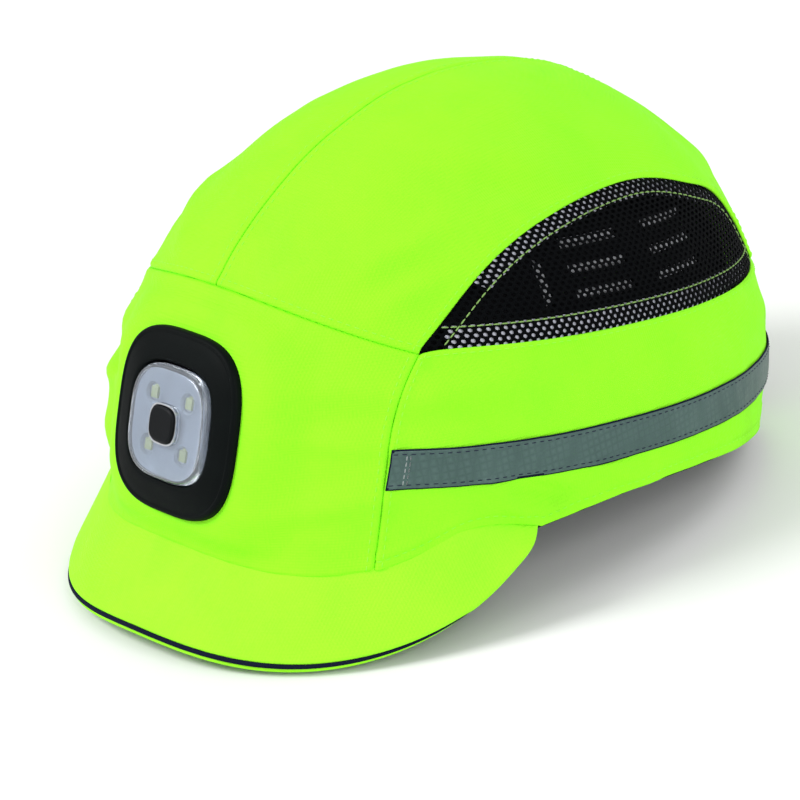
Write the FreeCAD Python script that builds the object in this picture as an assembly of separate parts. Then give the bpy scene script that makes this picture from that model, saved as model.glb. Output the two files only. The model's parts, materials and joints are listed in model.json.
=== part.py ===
"""Bump cap with a rechargeable front lamp, modelled in millimetres.

The pieces are drawn in the head frame: +X to the wearer's left, -Y forward, +Z up, with z = 0
at the widest level of the crown.  They are written in the standing frame, where the cap rests
on the lip of its brim and on its rear hem, with the origin below the middle of the cap.
"""
import FreeCAD, Part

import math
import os

V = FreeCAD.Vector

FAR = 150.0                  # farther out than any piece, for cutting blocks and prisms

# ---- driving dimensions of the crown ----
HALF_WIDTH = 93.0            # widest level, outside of the cloth
FRONT_LENGTH = 116.0
REAR_LENGTH = 114.7
CROWN_HEIGHT = 104.9
PLAN_EXPONENT = 2.22         # plan shape: a superellipse
SIDE_EXPONENT = 1.75         # profile over the ears
FRONT_EXPONENT = 1.96        # profile over the forehead
REAR_EXPONENT = 2.12         # profile over the back of the head
TOP_SHIFT = 6.6              # the top of the crown sits this far behind the middle
FRONT_FLARE = 0.08           # outward slope of the wall below z = 0
REAR_FLARE = -0.16           # the nape pulls in
GRID_STEPS = 16              # grid of the crown surface, each way
GRID_REACH = 3.84            # stereographic reach: twice the tangent of half the polar angle

# ---- cloth, shell and padding: depths below the outer cloth surface ----
CLOTH = 1.2
TAPE_PROUD = 0.55
TAPE_GAP = 0.05
SHELL_OUT = 8.0
SHELL_IN = 10.5
PAD_OUT = 10.6
PAD_IN = 16.0
BAND_OUT = 11.0
BAND_IN = 13.5
PLY_GAP = 0.1

# ---- seams, in the side view (y, z) ----
BAND_SEAM_CENTRE_Z = 45.2
BAND_SEAM_DROP = 0.0028      # mm of drop per square mm of sideways distance
SIDE_SEAM_X = 66.5
MESH_BASE_Z = 34.5
MESH_FRONT_Y = -74.0
MESH_REAR_Y = 92.0
MESH_TOP = [(-53.0, 52.3), (-26.0, 66.0), (4.0, 72.8), (35.0, 73.0), (60.0, 66.2), (80.0, 54.0)]
HEM = [(-130.0, -44.0), (-90.0, -36.0), (-42.0, -24.5), (-13.0, -19.0), (30.0, -16.5),
       (75.0, -18.5), (130.0, -21.0)]
TAPE_WIDTH = 13.0
TAPE_FRONT_Z = -2.5          # middle of the tape at the side seam
TAPE_REAR_Z = 3.0            # middle of the tape at the rear opening
TAPE_FRONT_X = 67.0

# ---- rear opening ----
ARCH_HALF_WIDTH = 40.0
ARCH_TOP_Z = 24.0
ARCH_BINDING = 6.0

# ---- bump shell ----
SHELL_RISE = 15.0            # height of the shell's lower edge above the hem
SHELL_REAR_Z = 8.0           # the shell's lower edge behind the ears, clear of the strap
SLOT_LENGTH = 27.0
SLOT_HEIGHT = 3.6
SLOT_Y = (3.0, 42.0)
SLOT_Z = (43.0, 50.5, 58.0)
SLIT_Y = -22.0
SLIT_Z = 48.0
SLIT_SIZE = (3.6, 14.0)

# ---- foam pads ----
PAD_ZONES = {                # low and high corner of the block that each pad is cut with
    "foam_pad_front": ((-34.0, -FAR, 14.0), (34.0, -55.0, 74.0)),
    "foam_pad_top": ((-30.0, -42.0, 60.0), (30.0, 52.0, FAR)),
    "foam_pad_rear": ((-34.0, 62.0, 30.0), (34.0, FAR, 72.0)),
    "foam_pad_left": ((40.0, -40.0, 20.0), (FAR, 56.0, 64.0)),
    "foam_pad_right": ((-FAR, -40.0, 20.0), (-40.0, 56.0, 64.0)),
}

# ---- sweatband ----
SWEATBAND_HEIGHT = 32.0
SWEATBAND_FOOT = 2.5

# ---- brim: an arched sheet, cut to a crescent ----
BRIM_ROOT = V(0.0, -119.2, -38.3)
BRIM_SLOPE = 57.15           # degrees below the horizontal, along the centre line
BRIM_RADIUS = 111.0          # arch across the cap
BRIM_HALF_WIDTH = 96.0
BRIM_REACH = 31.7            # centre line, root to lip
BRIM_END = -75.0             # where the crescent's curve would end, along the slope
BRIM_CUT = -51.0             # where its two horns are cut off, along the slope
BRIM_POWER = (3.04, 2.68)
BRIM_COVER = 0.8
BRIM_BOARD = 1.8
UPPER_INSET = 2.2            # the upper cover stops short of the lower one
PIPING_INSET = 0.9
PIPING_WIDTH = 2.6

# ---- lamp ----
LAMP_CENTRE = V(0.0, -116.0, 1.6)
LAMP_LEAN = 8.0              # degrees, top of the lamp leans back
BEZEL_HALF = 29.0
BEZEL_TOP = 5.5
BEZEL_TALL = 1.04            # the bezel is a little taller than wide
SOCKET_HALF = 19.1           # hole of the bezel
MODULE_HALF = 18.7
CORNER_POWER = 3.2
MODULE_BACK = -6.6
LENS_BASE = 3.2
LENS_TOP = 7.0
COLLAR_TOP = 7.8
BOARD_TOP = 3.8
LED_SPREAD = 8.6             # each chip, from the middle of the lamp
COLLAR_HALF = 6.7
BUTTON_HALF = 5.9
BUTTON_BASE = 6.0
BUTTON_TOP = 8.8
SWITCH_TOP = 5.2
PLUNGER_RADIUS = 1.6
CUP_WALL = 1.5
CUP_FLOOR = -3.8
BATTERY_BOX = ((-12.0, -8.5, -3.7), (12.0, 10.0, -0.4))
CHARGING_BOX = ((-4.5, -17.0, -3.5), (4.5, -9.5, -0.5))
CHARGING_MOUTH = ((-3.7, -18.0, -2.8), (3.7, -11.0, -1.2))
CUP_MOUTH = ((-4.6, -25.0, -3.6), (4.6, -10.0, -0.4))
CHIP_SIZE = (3.0, 3.6, 0.8)
SCREW_X = (-13.8, 13.8)
SCREW_Y = (-4.5, 4.5)
SCREW_RADIUS = 0.9
SCREW_HEAD_RADIUS = 1.3

# ---- adjusting strap across the rear opening ----
STRAP_RADIUS = 84.0          # outer face of the outer strap
STRAP_CENTRE_Y = 26.5
STRAP_WIDTH = 20.0
STRAP_LOW_Z = -16.0
STRAP_PLY = 1.2
PATCH_PLY = 0.8
PATCH_MARGIN = 1.5
HOOK_GAP = 0.3               # between the hook patch and the loop patch
SEWN_END = 3.4               # the under strap's folded end, sewn to the side panel
OVER_ANGLES = (-24.0, 44.0)  # degrees from straight back, positive to the wearer's left
HOOK_ANGLES = (-22.0, 6.0)
LOOP_ANGLES = (-37.0, 20.0)
UNDER_ANGLES = (-40.0, 22.0)
SEWN_ANGLES = (-40.0, -37.5)

# ---- standing pose ----
STANDING_PITCH = 11.0        # degrees, front of the cap turned up


# ======================= crown surface =======================

def profile(level, exponent, flare):
    """Radius factor of the crown at a level from 0 (widest) to 1 (top); negative is below."""
    if level <= 0.0:
        return 1.0 - flare * level
    rounded = 2.0 + (exponent - 2.0) * (1.0 - level ** 6)
    return max(1.0 - level ** rounded, 0.0) ** (1.0 / rounded)


def signed_power(value, exponent):
    return math.copysign(abs(value) ** exponent, value)


def crown_point(u, v, depth):
    """Point of the crown, a given depth under the cloth, at stereographic coordinates u, v."""
    reach = math.hypot(u, v)
    polar = 2.0 * math.atan(reach / 2.0)
    azimuth = math.atan2(v, u)
    level = math.cos(polar)
    behind = max(math.sin(azimuth), 0.0)
    flare = FRONT_FLARE + (REAR_FLARE - FRONT_FLARE) * behind ** 2
    across = signed_power(math.cos(azimuth), 2.0 / PLAN_EXPONENT)
    along = signed_power(math.sin(azimuth), 2.0 / PLAN_EXPONENT)
    length, exponent = FRONT_LENGTH, FRONT_EXPONENT
    if along > 0.0:
        length, exponent = REAR_LENGTH, REAR_EXPONENT
    x = (HALF_WIDTH - depth) * profile(level, SIDE_EXPONENT, flare) * across
    y = (length - depth) * profile(level, exponent, flare) * along
    y += TOP_SHIFT * max(level, 0.0) ** 2
    return V(x, y, (CROWN_HEIGHT - depth) * level)


def crown_face(depth):
    steps = [GRID_REACH * (2.0 * i / GRID_STEPS - 1.0) for i in range(GRID_STEPS + 1)]
    surface = Part.BSplineSurface()
    surface.interpolate([[crown_point(u, v, depth) for v in steps] for u in steps])
    return surface.toShape()


def crown_wall(outer_depth, inner_depth):
    """Solid layer of the crown between two depths."""
    outer = crown_face(outer_depth)
    inner = crown_face(inner_depth)
    faces = [outer, inner]
    for outer_edge, inner_edge in zip(outer.Edges, inner.Edges):
        faces.append(Part.makeRuledSurface(outer_edge, inner_edge))
    shell = Part.makeShell(faces)
    shell.sewShape()
    solid = Part.makeSolid(shell)
    if solid.Volume < 0.0:
        solid.reverse()
    return solid


# ======================= outlines and prisms =======================

def curve_through(points):
    curve = Part.BSplineCurve()
    curve.interpolate(points)
    return curve.toShape()


def side_prism(edges, x_low, x_high):
    """Prism of an outline drawn in the side view, between two x values."""
    face = Part.Face(Part.Wire(edges))
    face.translate(V(x_low, 0.0, 0.0))
    return face.extrude(V(x_high - x_low, 0.0, 0.0))


def side_points(pairs, lift=0.0):
    return [V(0.0, y, z + lift) for y, z in pairs]


def above_hem(lift, x_low=-FAR, x_high=FAR, top=200.0):
    """Everything higher than the hem by a given lift."""
    points = side_points(HEM, lift)
    first, last = points[0], points[-1]
    edges = [curve_through(points),
             Part.makeLine(last, V(0.0, last.y, top)),
             Part.makeLine(V(0.0, last.y, top), V(0.0, first.y, top)),
             Part.makeLine(V(0.0, first.y, top), first)]
    return side_prism(edges, x_low, x_high)


def block(low, high):
    return Part.makeBox(high[0] - low[0], high[1] - low[1], high[2] - low[2], V(*low))


def mesh_prism(side):
    """Prism of the side vent's outline: a flat base and one long arch."""
    front = V(0.0, MESH_FRONT_Y, MESH_BASE_Z)
    rear = V(0.0, MESH_REAR_Y, MESH_BASE_Z)
    arch = [V(0.0, y, z) for y, z in MESH_TOP]
    edges = [curve_through([front] + arch + [rear]), Part.makeLine(rear, front)]
    if side > 0:
        return side_prism(edges, 20.0, FAR)
    return side_prism(edges, -FAR, -20.0)


def band_seam_prism():
    """Everything in front of the crown and lower than the seam over the forehead."""
    edge_x = 110.0
    edge_z = BAND_SEAM_CENTRE_Z - BAND_SEAM_DROP * edge_x ** 2
    arc = Part.Arc(V(-edge_x, 0.0, edge_z), V(0.0, 0.0, BAND_SEAM_CENTRE_Z),
                   V(edge_x, 0.0, edge_z)).toShape()
    low_left = V(-edge_x, 0.0, -80.0)
    low_right = V(edge_x, 0.0, -80.0)
    wire = Part.Wire([arc, Part.makeLine(V(edge_x, 0.0, edge_z), low_right),
                      Part.makeLine(low_right, low_left),
                      Part.makeLine(low_left, V(-edge_x, 0.0, edge_z))])
    face = Part.Face(wire)
    face.translate(V(0.0, -FAR, 0.0))
    return face.extrude(V(0.0, FAR, 0.0))


def arch_prism(grow):
    """Prism of the rear opening, run backwards through the nape."""
    half = ARCH_HALF_WIDTH + grow
    low = -60.0
    spring_z = ARCH_TOP_Z - ARCH_HALF_WIDTH * 0.8
    rise = ARCH_TOP_Z + grow - spring_z
    right = V(half, 0.0, spring_z)
    left = V(-half, 0.0, spring_z)
    top = Part.Ellipse(V(0.0, 0.0, spring_z), half, rise)
    bow = Part.ArcOfEllipse(top, 0.0, math.pi).toShape()
    bow.rotate(V(0.0, 0.0, spring_z), V(1.0, 0.0, 0.0), 90.0)
    wire = Part.Wire([bow, Part.makeLine(left, V(-half, 0.0, low)),
                      Part.makeLine(V(-half, 0.0, low), V(half, 0.0, low)),
                      Part.makeLine(V(half, 0.0, low), right)])
    return Part.Face(wire).extrude(V(0.0, FAR, 0.0))


# ======================= cloth panels =======================

def cloth_pieces():
    wall = crown_wall(0.0, CLOTH).common(above_hem(0.0))
    opening = arch_prism(ARCH_BINDING)
    half_space = {1: block((0.0, -200.0, -100.0), (FAR, 200.0, 200.0)),
                  -1: block((-FAR, -200.0, -100.0), (0.0, 200.0, 200.0))}
    mid_box = block((-SIDE_SEAM_X, -FAR, -100.0), (SIDE_SEAM_X, 0.0, 100.0))
    front_zone = band_seam_prism().common(mid_box)
    lamp_hole = lamp_prism(SOCKET_HALF + 1.6, -14.0, 12.0)
    low_zone = block((-FAR, -FAR, -100.0), (FAR, FAR, MESH_BASE_Z))
    pieces = {"front_band": wall.common(front_zone).cut(lamp_hole)}
    rest = wall.cut(front_zone)
    upper = rest.cut(low_zone)
    lower = rest.common(low_zone).cut(opening)
    for name, side in (("left", 1), ("right", -1)):
        vent = mesh_prism(side)
        pieces["crown_panel_" + name] = upper.common(half_space[side]).cut(vent)
        pieces["side_panel_" + name] = lower.common(half_space[side])
        pieces["mesh_panel_" + name] = upper.common(vent)
        pieces["reflective_tape_" + name] = tape(half_space[side])
    ring = arch_prism(ARCH_BINDING).cut(arch_prism(0.0))
    pieces["arch_binding"] = crown_wall(-0.4, CLOTH + 0.4).common(above_hem(0.0)).common(ring)
    return pieces


def tape(half):
    """Reflective tape, from the side seam round to the rear opening."""
    slope = (TAPE_REAR_Z - TAPE_FRONT_Z) / (REAR_LENGTH + FRONT_LENGTH * 0.7)
    middle = TAPE_FRONT_Z + slope * FRONT_LENGTH * 0.7
    corners = [V(0.0, -FAR, middle - slope * FAR - TAPE_WIDTH / 2.0),
               V(0.0, FAR, middle + slope * FAR - TAPE_WIDTH / 2.0),
               V(0.0, FAR, middle + slope * FAR + TAPE_WIDTH / 2.0),
               V(0.0, -FAR, middle - slope * FAR + TAPE_WIDTH / 2.0)]
    edges = [Part.makeLine(a, b) for a, b in zip(corners, corners[1:] + corners[:1])]
    strip = side_prism(edges, -FAR, FAR).common(half)
    front = block((-TAPE_FRONT_X, -FAR, -FAR), (TAPE_FRONT_X, 0.0, FAR))
    layer = crown_wall(-TAPE_PROUD, -TAPE_GAP)
    return layer.common(strip).cut(front).cut(arch_prism(ARCH_BINDING + 0.3))


# ======================= shell, pads and sweatband =======================

def bump_shell():
    shell = crown_wall(SHELL_OUT, SHELL_IN).common(above_hem(SHELL_RISE))
    shell = shell.cut(arch_prism(4.0))
    shell = shell.cut(block((-FAR, STRAP_CENTRE_Y, -60.0), (FAR, FAR, SHELL_REAR_Z)))
    for side in (1, -1):
        low_x = 30.0 if side > 0 else -130.0
        for y in SLOT_Y:
            for z in SLOT_Z:
                shell = shell.cut(slot(low_x, y, z, SLOT_LENGTH, SLOT_HEIGHT))
        shell = shell.cut(slot(low_x, SLIT_Y, SLIT_Z, SLIT_SIZE[0], SLIT_SIZE[1]))
    return shell


def slot(low_x, y, z, length, height):
    return block((low_x, y - length / 2.0, z - height / 2.0),
                 (low_x + 100.0, y + length / 2.0, z + height / 2.0))


def foam_pads():
    layer = crown_wall(PAD_OUT, PAD_IN)
    zones = {name: block(low, high) for name, (low, high) in PAD_ZONES.items()}
    return {name: layer.common(zone) for name, zone in zones.items()}


def sweatband():
    """Soft band inside the hem, with the foot that is sewn to the hem."""
    band_zone = above_hem(0.0).cut(above_hem(SWEATBAND_HEIGHT))
    foot_zone = above_hem(0.0).cut(above_hem(SWEATBAND_FOOT))
    band = crown_wall(BAND_OUT, BAND_IN).common(band_zone)
    foot = crown_wall(CLOTH + PLY_GAP, BAND_IN).common(foot_zone)
    rear = block((-ARCH_HALF_WIDTH - 8.0, 0.0, -100.0), (ARCH_HALF_WIDTH + 8.0, FAR, 100.0))
    return band.fuse(foot).cut(rear).removeSplitter()


# ======================= brim =======================

def brim_frame(shape):
    """Move a shape from the brim's own frame (x, along the slope, normal) to the head frame."""
    slope = math.radians(BRIM_SLOPE)
    along = V(0.0, -math.cos(slope), -math.sin(slope))
    normal = V(0.0, -math.sin(slope), math.cos(slope))
    across = along.cross(normal)
    matrix = FreeCAD.Matrix(across.x, along.x, normal.x, BRIM_ROOT.x,
                            across.y, along.y, normal.y, BRIM_ROOT.y,
                            across.z, along.z, normal.z, BRIM_ROOT.z,
                            0.0, 0.0, 0.0, 1.0)
    return placed(shape, matrix)


def placed(shape, matrix):
    moved = shape.copy()
    moved.Placement = FreeCAD.Placement(matrix).multiply(moved.Placement)
    return moved


def crescent(grow):
    """Prism of the brim's cutting outline, in the brim's own frame."""
    half = BRIM_HALF_WIDTH + grow
    count = 12
    right = []
    for i in range(count + 1):
        angle = 0.5 * math.pi * i / count
        x = half * math.sin(angle)
        edge = max(1.0 - (x / half) ** BRIM_POWER[0], 0.0) ** (1.0 / BRIM_POWER[1])
        right.append(V(x, BRIM_END + (BRIM_REACH + grow - BRIM_END) * edge, 0.0))
    left = [V(-p.x, p.y, 0.0) for p in reversed(right[1:])]
    lip = curve_through(left + right)
    back = BRIM_END - 20.0
    ends = [right[-1], V(half, back, 0.0), V(-half, back, 0.0), left[0]]
    edges = [lip] + [Part.makeLine(a, b) for a, b in zip(ends, ends[1:])]
    face = Part.Face(Part.Wire(edges))
    face.translate(V(0.0, 0.0, -90.0))
    horns = block((-FAR, BRIM_END - 30.0, -100.0), (FAR, BRIM_CUT - grow, 100.0))
    return face.extrude(V(0.0, 0.0, 110.0)).cut(horns)


def brim_layer(depth, thickness, grow):
    """One ply of the brim, at a depth below its upper face."""
    outer = BRIM_RADIUS - depth
    inner = outer - thickness
    start = V(0.0, BRIM_END - 20.0, -BRIM_RADIUS)
    length = BRIM_REACH - BRIM_END + 40.0
    tube = Part.makeCylinder(outer, length, start, V(0.0, 1.0, 0.0))
    tube = tube.cut(Part.makeCylinder(inner, length, start, V(0.0, 1.0, 0.0)))
    return tube.common(crescent(grow))


def clear_of_crown(shape):
    """The part of a brim ply that lies outside the cloth."""
    moved = brim_frame(shape)
    outside = moved.cut(crown_wall(-PLY_GAP, 40.0))
    keep = max(outside.Solids, key=lambda solid: solid.Volume)
    return keep


def brim_pieces():
    core = BRIM_COVER + PLY_GAP
    lower = core + BRIM_BOARD + PLY_GAP
    edging = brim_layer(core, BRIM_BOARD, -PIPING_INSET)
    edging = edging.cut(crescent(-PIPING_INSET - PIPING_WIDTH))
    board_inset = PIPING_INSET + PIPING_WIDTH + 0.2
    return {
        "brim_upper_cover": clear_of_crown(brim_layer(0.0, BRIM_COVER, -UPPER_INSET)),
        "brim_board": clear_of_crown(brim_layer(core, BRIM_BOARD, -board_inset)),
        "brim_lower_cover": clear_of_crown(brim_layer(lower, BRIM_COVER, 0.0)),
        "brim_piping": clear_of_crown(edging),
    }


# ======================= lamp =======================

def lamp_frame(shape):
    """Move a shape from the lamp's own frame (x, up, outward) to the head frame."""
    lean = math.radians(LAMP_LEAN)
    up = V(0.0, math.sin(lean), math.cos(lean))
    out = V(0.0, -math.cos(lean), math.sin(lean))
    matrix = FreeCAD.Matrix(1.0, up.x, out.x, LAMP_CENTRE.x,
                            0.0, up.y, out.y, LAMP_CENTRE.y,
                            0.0, up.z, out.z, LAMP_CENTRE.z,
                            0.0, 0.0, 0.0, 1.0)
    return placed(shape, matrix)


def squircle(half, height, tall=1.0):
    """Closed rounded-square wire at a height in the lamp's own frame."""
    points = []
    for i in range(32):
        angle = 2.0 * math.pi * i / 32
        x = half * signed_power(math.cos(angle), 2.0 / CORNER_POWER)
        y = tall * half * signed_power(math.sin(angle), 2.0 / CORNER_POWER)
        points.append(V(x, y, height))
    curve = Part.BSplineCurve()
    curve.interpolate(Points=points, PeriodicFlag=True)
    return Part.Wire([curve.toShape()])


def plate(half, low, high):
    return Part.Face(squircle(half, low)).extrude(V(0.0, 0.0, high - low))


def lamp_prism(half, low, high):
    return lamp_frame(plate(half, low, high))


def domed(sections, ruled=False):
    return Part.makeLoft([squircle(half, height) for half, height in sections], True, ruled)


def lamp_bezel():
    sections = [(BEZEL_HALF - 0.4, -9.0), (BEZEL_HALF, 1.0), (BEZEL_HALF - 0.3, 3.0),
                (BEZEL_HALF - 1.6, 4.0), (BEZEL_HALF - 8.5, BEZEL_TOP)]
    wires = [squircle(half, height, BEZEL_TALL) for half, height in sections]
    body = Part.makeLoft(wires, True, True)
    neck = plate(SOCKET_HALF + 1.5, -7.0, 0.0)
    body = lamp_frame(body).cut(crown_wall(-0.05, 30.0))
    return body.fuse(lamp_frame(neck)).cut(lamp_prism(SOCKET_HALF, -20.0, 20.0)).removeSplitter()


def lamp_pieces():
    inner = MODULE_HALF - CUP_WALL
    pieces = {}
    ring = plate(SOCKET_HALF + 7.0, -7.0, -5.2).cut(plate(SOCKET_HALF + 1.6, -8.0, 0.0))
    pieces["lamp_retaining_ring"] = ring
    cup = plate(MODULE_HALF, -5.0, LENS_BASE - 0.1).cut(plate(inner, CUP_FLOOR, BUTTON_TOP))
    cup = cup.cut(block(*CUP_MOUTH))
    pieces["lamp_housing"] = cup
    pieces["lamp_back"] = plate(MODULE_HALF, MODULE_BACK, -5.1)
    pieces["lamp_seal"] = plate(inner - 0.1, 1.6, 2.4).cut(plate(inner - 1.4, 1.0, 4.0))
    lens = domed([(MODULE_HALF, LENS_BASE), (MODULE_HALF, 5.0), (MODULE_HALF - 0.6, 6.3),
                  (MODULE_HALF - 2.2, LENS_TOP)])
    lens = lens.cut(plate(inner, 2.0, LENS_TOP - 1.2)).cut(plate(COLLAR_HALF + 0.1, 0.0, 12.0))
    pieces["lamp_lens"] = lens
    reflector = plate(inner - 0.1, BOARD_TOP + 0.45, BOARD_TOP + 1.2)
    reflector = reflector.cut(plate(BUTTON_HALF + 0.3, 0.0, 9.0))
    chip_places = [(x, y) for x in (-LED_SPREAD, LED_SPREAD) for y in (-LED_SPREAD, LED_SPREAD)]
    for x, y in chip_places:
        reflector = reflector.cut(Part.makeCone(2.8, 3.6, 0.75, V(x, y, BOARD_TOP + 0.45)))
    pieces["lamp_reflector"] = reflector
    pieces["circuit_board"] = plate(inner - 0.2, BOARD_TOP - 1.2, BOARD_TOP).cut(lamp_screws(0.1))
    length, width, height = CHIP_SIZE
    chips = [Part.makeBox(length, width, height,
                          V(x - length / 2.0, y - width / 2.0, BOARD_TOP + 0.05))
             for x, y in chip_places]
    pieces["led_chips"] = Part.makeCompound(chips)
    collar = plate(COLLAR_HALF, BOARD_TOP + 1.25, COLLAR_TOP).cut(plate(BUTTON_HALF + 0.3, 0.0, 12.0))
    pieces["button_collar"] = collar
    switch = block((-3.0, -3.0, BOARD_TOP + 0.05), (3.0, 3.0, SWITCH_TOP))
    bore = Part.makeCylinder(PLUNGER_RADIUS + 0.1, 4.0, V(0.0, 0.0, BOARD_TOP + 0.2))
    pieces["push_switch"] = switch.cut(bore)
    plunger_low = SWITCH_TOP - 0.3
    plunger_length = BUTTON_BASE - 0.05 - plunger_low
    pieces["switch_plunger"] = Part.makeCylinder(PLUNGER_RADIUS, plunger_length,
                                                 V(0.0, 0.0, plunger_low))
    cap = domed([(BUTTON_HALF, BUTTON_BASE), (BUTTON_HALF, BUTTON_TOP - 0.7),
                 (BUTTON_HALF - 0.2, BUTTON_TOP - 0.3), (BUTTON_HALF - 0.8, BUTTON_TOP)],
                ruled=True)
    pieces["lamp_button"] = cap
    pieces["battery"] = block(*BATTERY_BOX)
    pieces["charging_socket"] = block(*CHARGING_BOX).cut(block(*CHARGING_MOUTH))
    pieces["lamp_screws"] = lamp_screws(0.0)
    return {name: lamp_frame(shape) for name, shape in pieces.items()}


def lamp_screws(grow):
    """Four screws that hold the board to the floor of the housing."""
    screws = []
    low = CUP_FLOOR + PLY_GAP
    for x in SCREW_X:
        for y in SCREW_Y:
            shank = Part.makeCylinder(SCREW_RADIUS + grow, BOARD_TOP + 0.1 - low, V(x, y, low))
            head = Part.makeCylinder(SCREW_HEAD_RADIUS, 0.3, V(x, y, BOARD_TOP + 0.1))
            screws.append(shank.fuse(head))
    return Part.makeCompound(screws)


# ======================= adjusting strap =======================

def strap_sector(outer_radius, thickness, angles, low_z, high_z):
    """Curved ply between two angles counted from straight back."""
    start_degrees, end_degrees = angles
    centre = V(0.0, STRAP_CENTRE_Y, low_z)
    sweep = end_degrees - start_degrees
    height = high_z - low_z
    outer = Part.makeCylinder(outer_radius, height, centre, V(0.0, 0.0, 1.0), sweep)
    inner = Part.makeCylinder(outer_radius - thickness, height, centre, V(0.0, 0.0, 1.0), 360.0)
    ply = outer.cut(inner)
    ply.rotate(centre, V(0.0, 0.0, 1.0), 90.0 - end_degrees)
    return ply


def strap_pieces():
    """Over strap from the left with its hook patch; under strap on the right with its loop."""
    low = STRAP_LOW_Z
    high = STRAP_LOW_Z + STRAP_WIDTH
    patch_low = low + PATCH_MARGIN
    patch_high = high - PATCH_MARGIN
    hook_radius = STRAP_RADIUS - STRAP_PLY - 0.05
    loop_radius = hook_radius - PATCH_PLY - HOOK_GAP
    under_radius = loop_radius - PATCH_PLY - 0.05
    under = strap_sector(under_radius, STRAP_PLY, UNDER_ANGLES, low, high)
    sewn_end = strap_sector(under_radius + SEWN_END, SEWN_END + STRAP_PLY, SEWN_ANGLES,
                            low, high)
    return {
        "strap_left": strap_sector(STRAP_RADIUS, STRAP_PLY, OVER_ANGLES, low, high),
        "strap_hook_patch": strap_sector(hook_radius, PATCH_PLY, HOOK_ANGLES,
                                         patch_low, patch_high),
        "strap_loop_patch": strap_sector(loop_radius, PATCH_PLY, LOOP_ANGLES,
                                         patch_low, patch_high),
        "strap_right": under.fuse(sewn_end),
    }


# ======================= assembly =======================

def standing(shape):
    turned = shape.copy()
    turned.rotate(V(0.0, 0.0, 0.0), V(1.0, 0.0, 0.0), -STANDING_PITCH)
    return turned


def all_pieces():
    pieces = cloth_pieces()
    pieces["bump_shell"] = bump_shell()
    pieces.update(foam_pads())
    pieces["sweatband"] = sweatband()
    pieces.update(brim_pieces())
    pieces["lamp_bezel"] = lamp_bezel()
    pieces.update(lamp_pieces())
    pieces.update(strap_pieces())
    return {name: standing(shape) for name, shape in pieces.items()}


def main():
    os.makedirs("parts", exist_ok=True)
    pieces = all_pieces()
    box = Part.makeCompound(list(pieces.values())).optimalBoundingBox(False)
    shift = V(-box.Center.x, -box.Center.y, -box.ZMin)
    print("size", box.XLength, box.YLength, box.ZLength, "shift", shift)
    for name, shape in pieces.items():
        shape.translate(shift)
        shape.exportStep("parts/" + name + ".step")
        print(name, len(shape.Solids), shape.isValid(), round(shape.Volume, 1))


main()
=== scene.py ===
"""Looks of the bump cap: sewn cloth panels, mesh vents, tape, brim, lamp, shell and lining.

Soft pieces are drawn on the crown's own formula, in millimetres in the head frame (+X to the
wearer's left, -Y forward, +Z up), and are turned into the row frame at the end.
"""
import json
import math

import bmesh
import bpy
import numpy as np
from mathutils import Matrix, Vector, noise


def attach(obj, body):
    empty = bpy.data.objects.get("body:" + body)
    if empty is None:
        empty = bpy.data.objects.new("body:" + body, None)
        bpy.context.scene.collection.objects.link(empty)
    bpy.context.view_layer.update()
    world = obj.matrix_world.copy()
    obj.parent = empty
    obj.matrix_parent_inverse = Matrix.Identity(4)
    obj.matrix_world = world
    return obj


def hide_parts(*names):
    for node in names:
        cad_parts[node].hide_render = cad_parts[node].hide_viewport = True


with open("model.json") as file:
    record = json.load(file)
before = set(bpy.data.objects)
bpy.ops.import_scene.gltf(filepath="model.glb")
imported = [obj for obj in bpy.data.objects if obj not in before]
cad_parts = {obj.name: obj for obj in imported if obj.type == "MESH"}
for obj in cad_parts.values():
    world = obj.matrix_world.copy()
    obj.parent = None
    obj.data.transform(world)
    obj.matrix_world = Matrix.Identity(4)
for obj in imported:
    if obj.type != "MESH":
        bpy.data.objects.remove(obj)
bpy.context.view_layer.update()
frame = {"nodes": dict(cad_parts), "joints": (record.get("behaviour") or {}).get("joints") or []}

MM = 0.001

# ---- head frame, read from the strap's joint ----
JOINTS = {joint["name"]: joint for joint in frame["joints"]}
STRAP_PIVOT = (26.5, -6.0)            # the strap's axis in the head frame (y, z)
HEAD_UP = np.array(JOINTS["strap_adjust"]["axis"])
HEAD_LEFT = np.array((1.0, 0.0, 0.0))
HEAD_BACK = np.cross(HEAD_UP, HEAD_LEFT)
HEAD_ORIGIN = (np.array(JOINTS["strap_adjust"]["pos_m"])
               - MM * (STRAP_PIVOT[0] * HEAD_BACK + STRAP_PIVOT[1] * HEAD_UP))
HEAD_AXES = np.stack([HEAD_LEFT, HEAD_BACK, HEAD_UP])

# ---- crown, as designed ----
HALF_WIDTH, FRONT_LENGTH, REAR_LENGTH, CROWN_HEIGHT = 93.0, 116.0, 114.7, 104.9
PLAN_EXPONENT, SIDE_EXPONENT, FRONT_EXPONENT, REAR_EXPONENT = 2.22, 1.75, 1.96, 2.12
TOP_SHIFT, FRONT_FLARE, REAR_FLARE = 6.6, 0.08, -0.16
SIDE_SEAM_X = 66.5
BAND_SEAM_CENTRE_Z, BAND_SEAM_DROP = 45.2, 0.0028
MESH_BASE_Z, MESH_FRONT_Y, MESH_REAR_Y = 34.5, -74.0, 92.0
MESH_TOP = ((-53.0, 52.3), (-26.0, 66.0), (4.0, 72.8), (35.0, 73.0), (60.0, 66.2), (80.0, 54.0))
HEM = ((-130.0, -44.0), (-90.0, -36.0), (-42.0, -24.5), (-13.0, -19.0), (30.0, -16.5),
       (75.0, -18.5), (130.0, -21.0))
ARCH_HALF_WIDTH, ARCH_TOP_Z, ARCH_BINDING = 40.0, 24.0, 6.0
CLOTH = 1.0                            # thickness of the cover cloth

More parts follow.
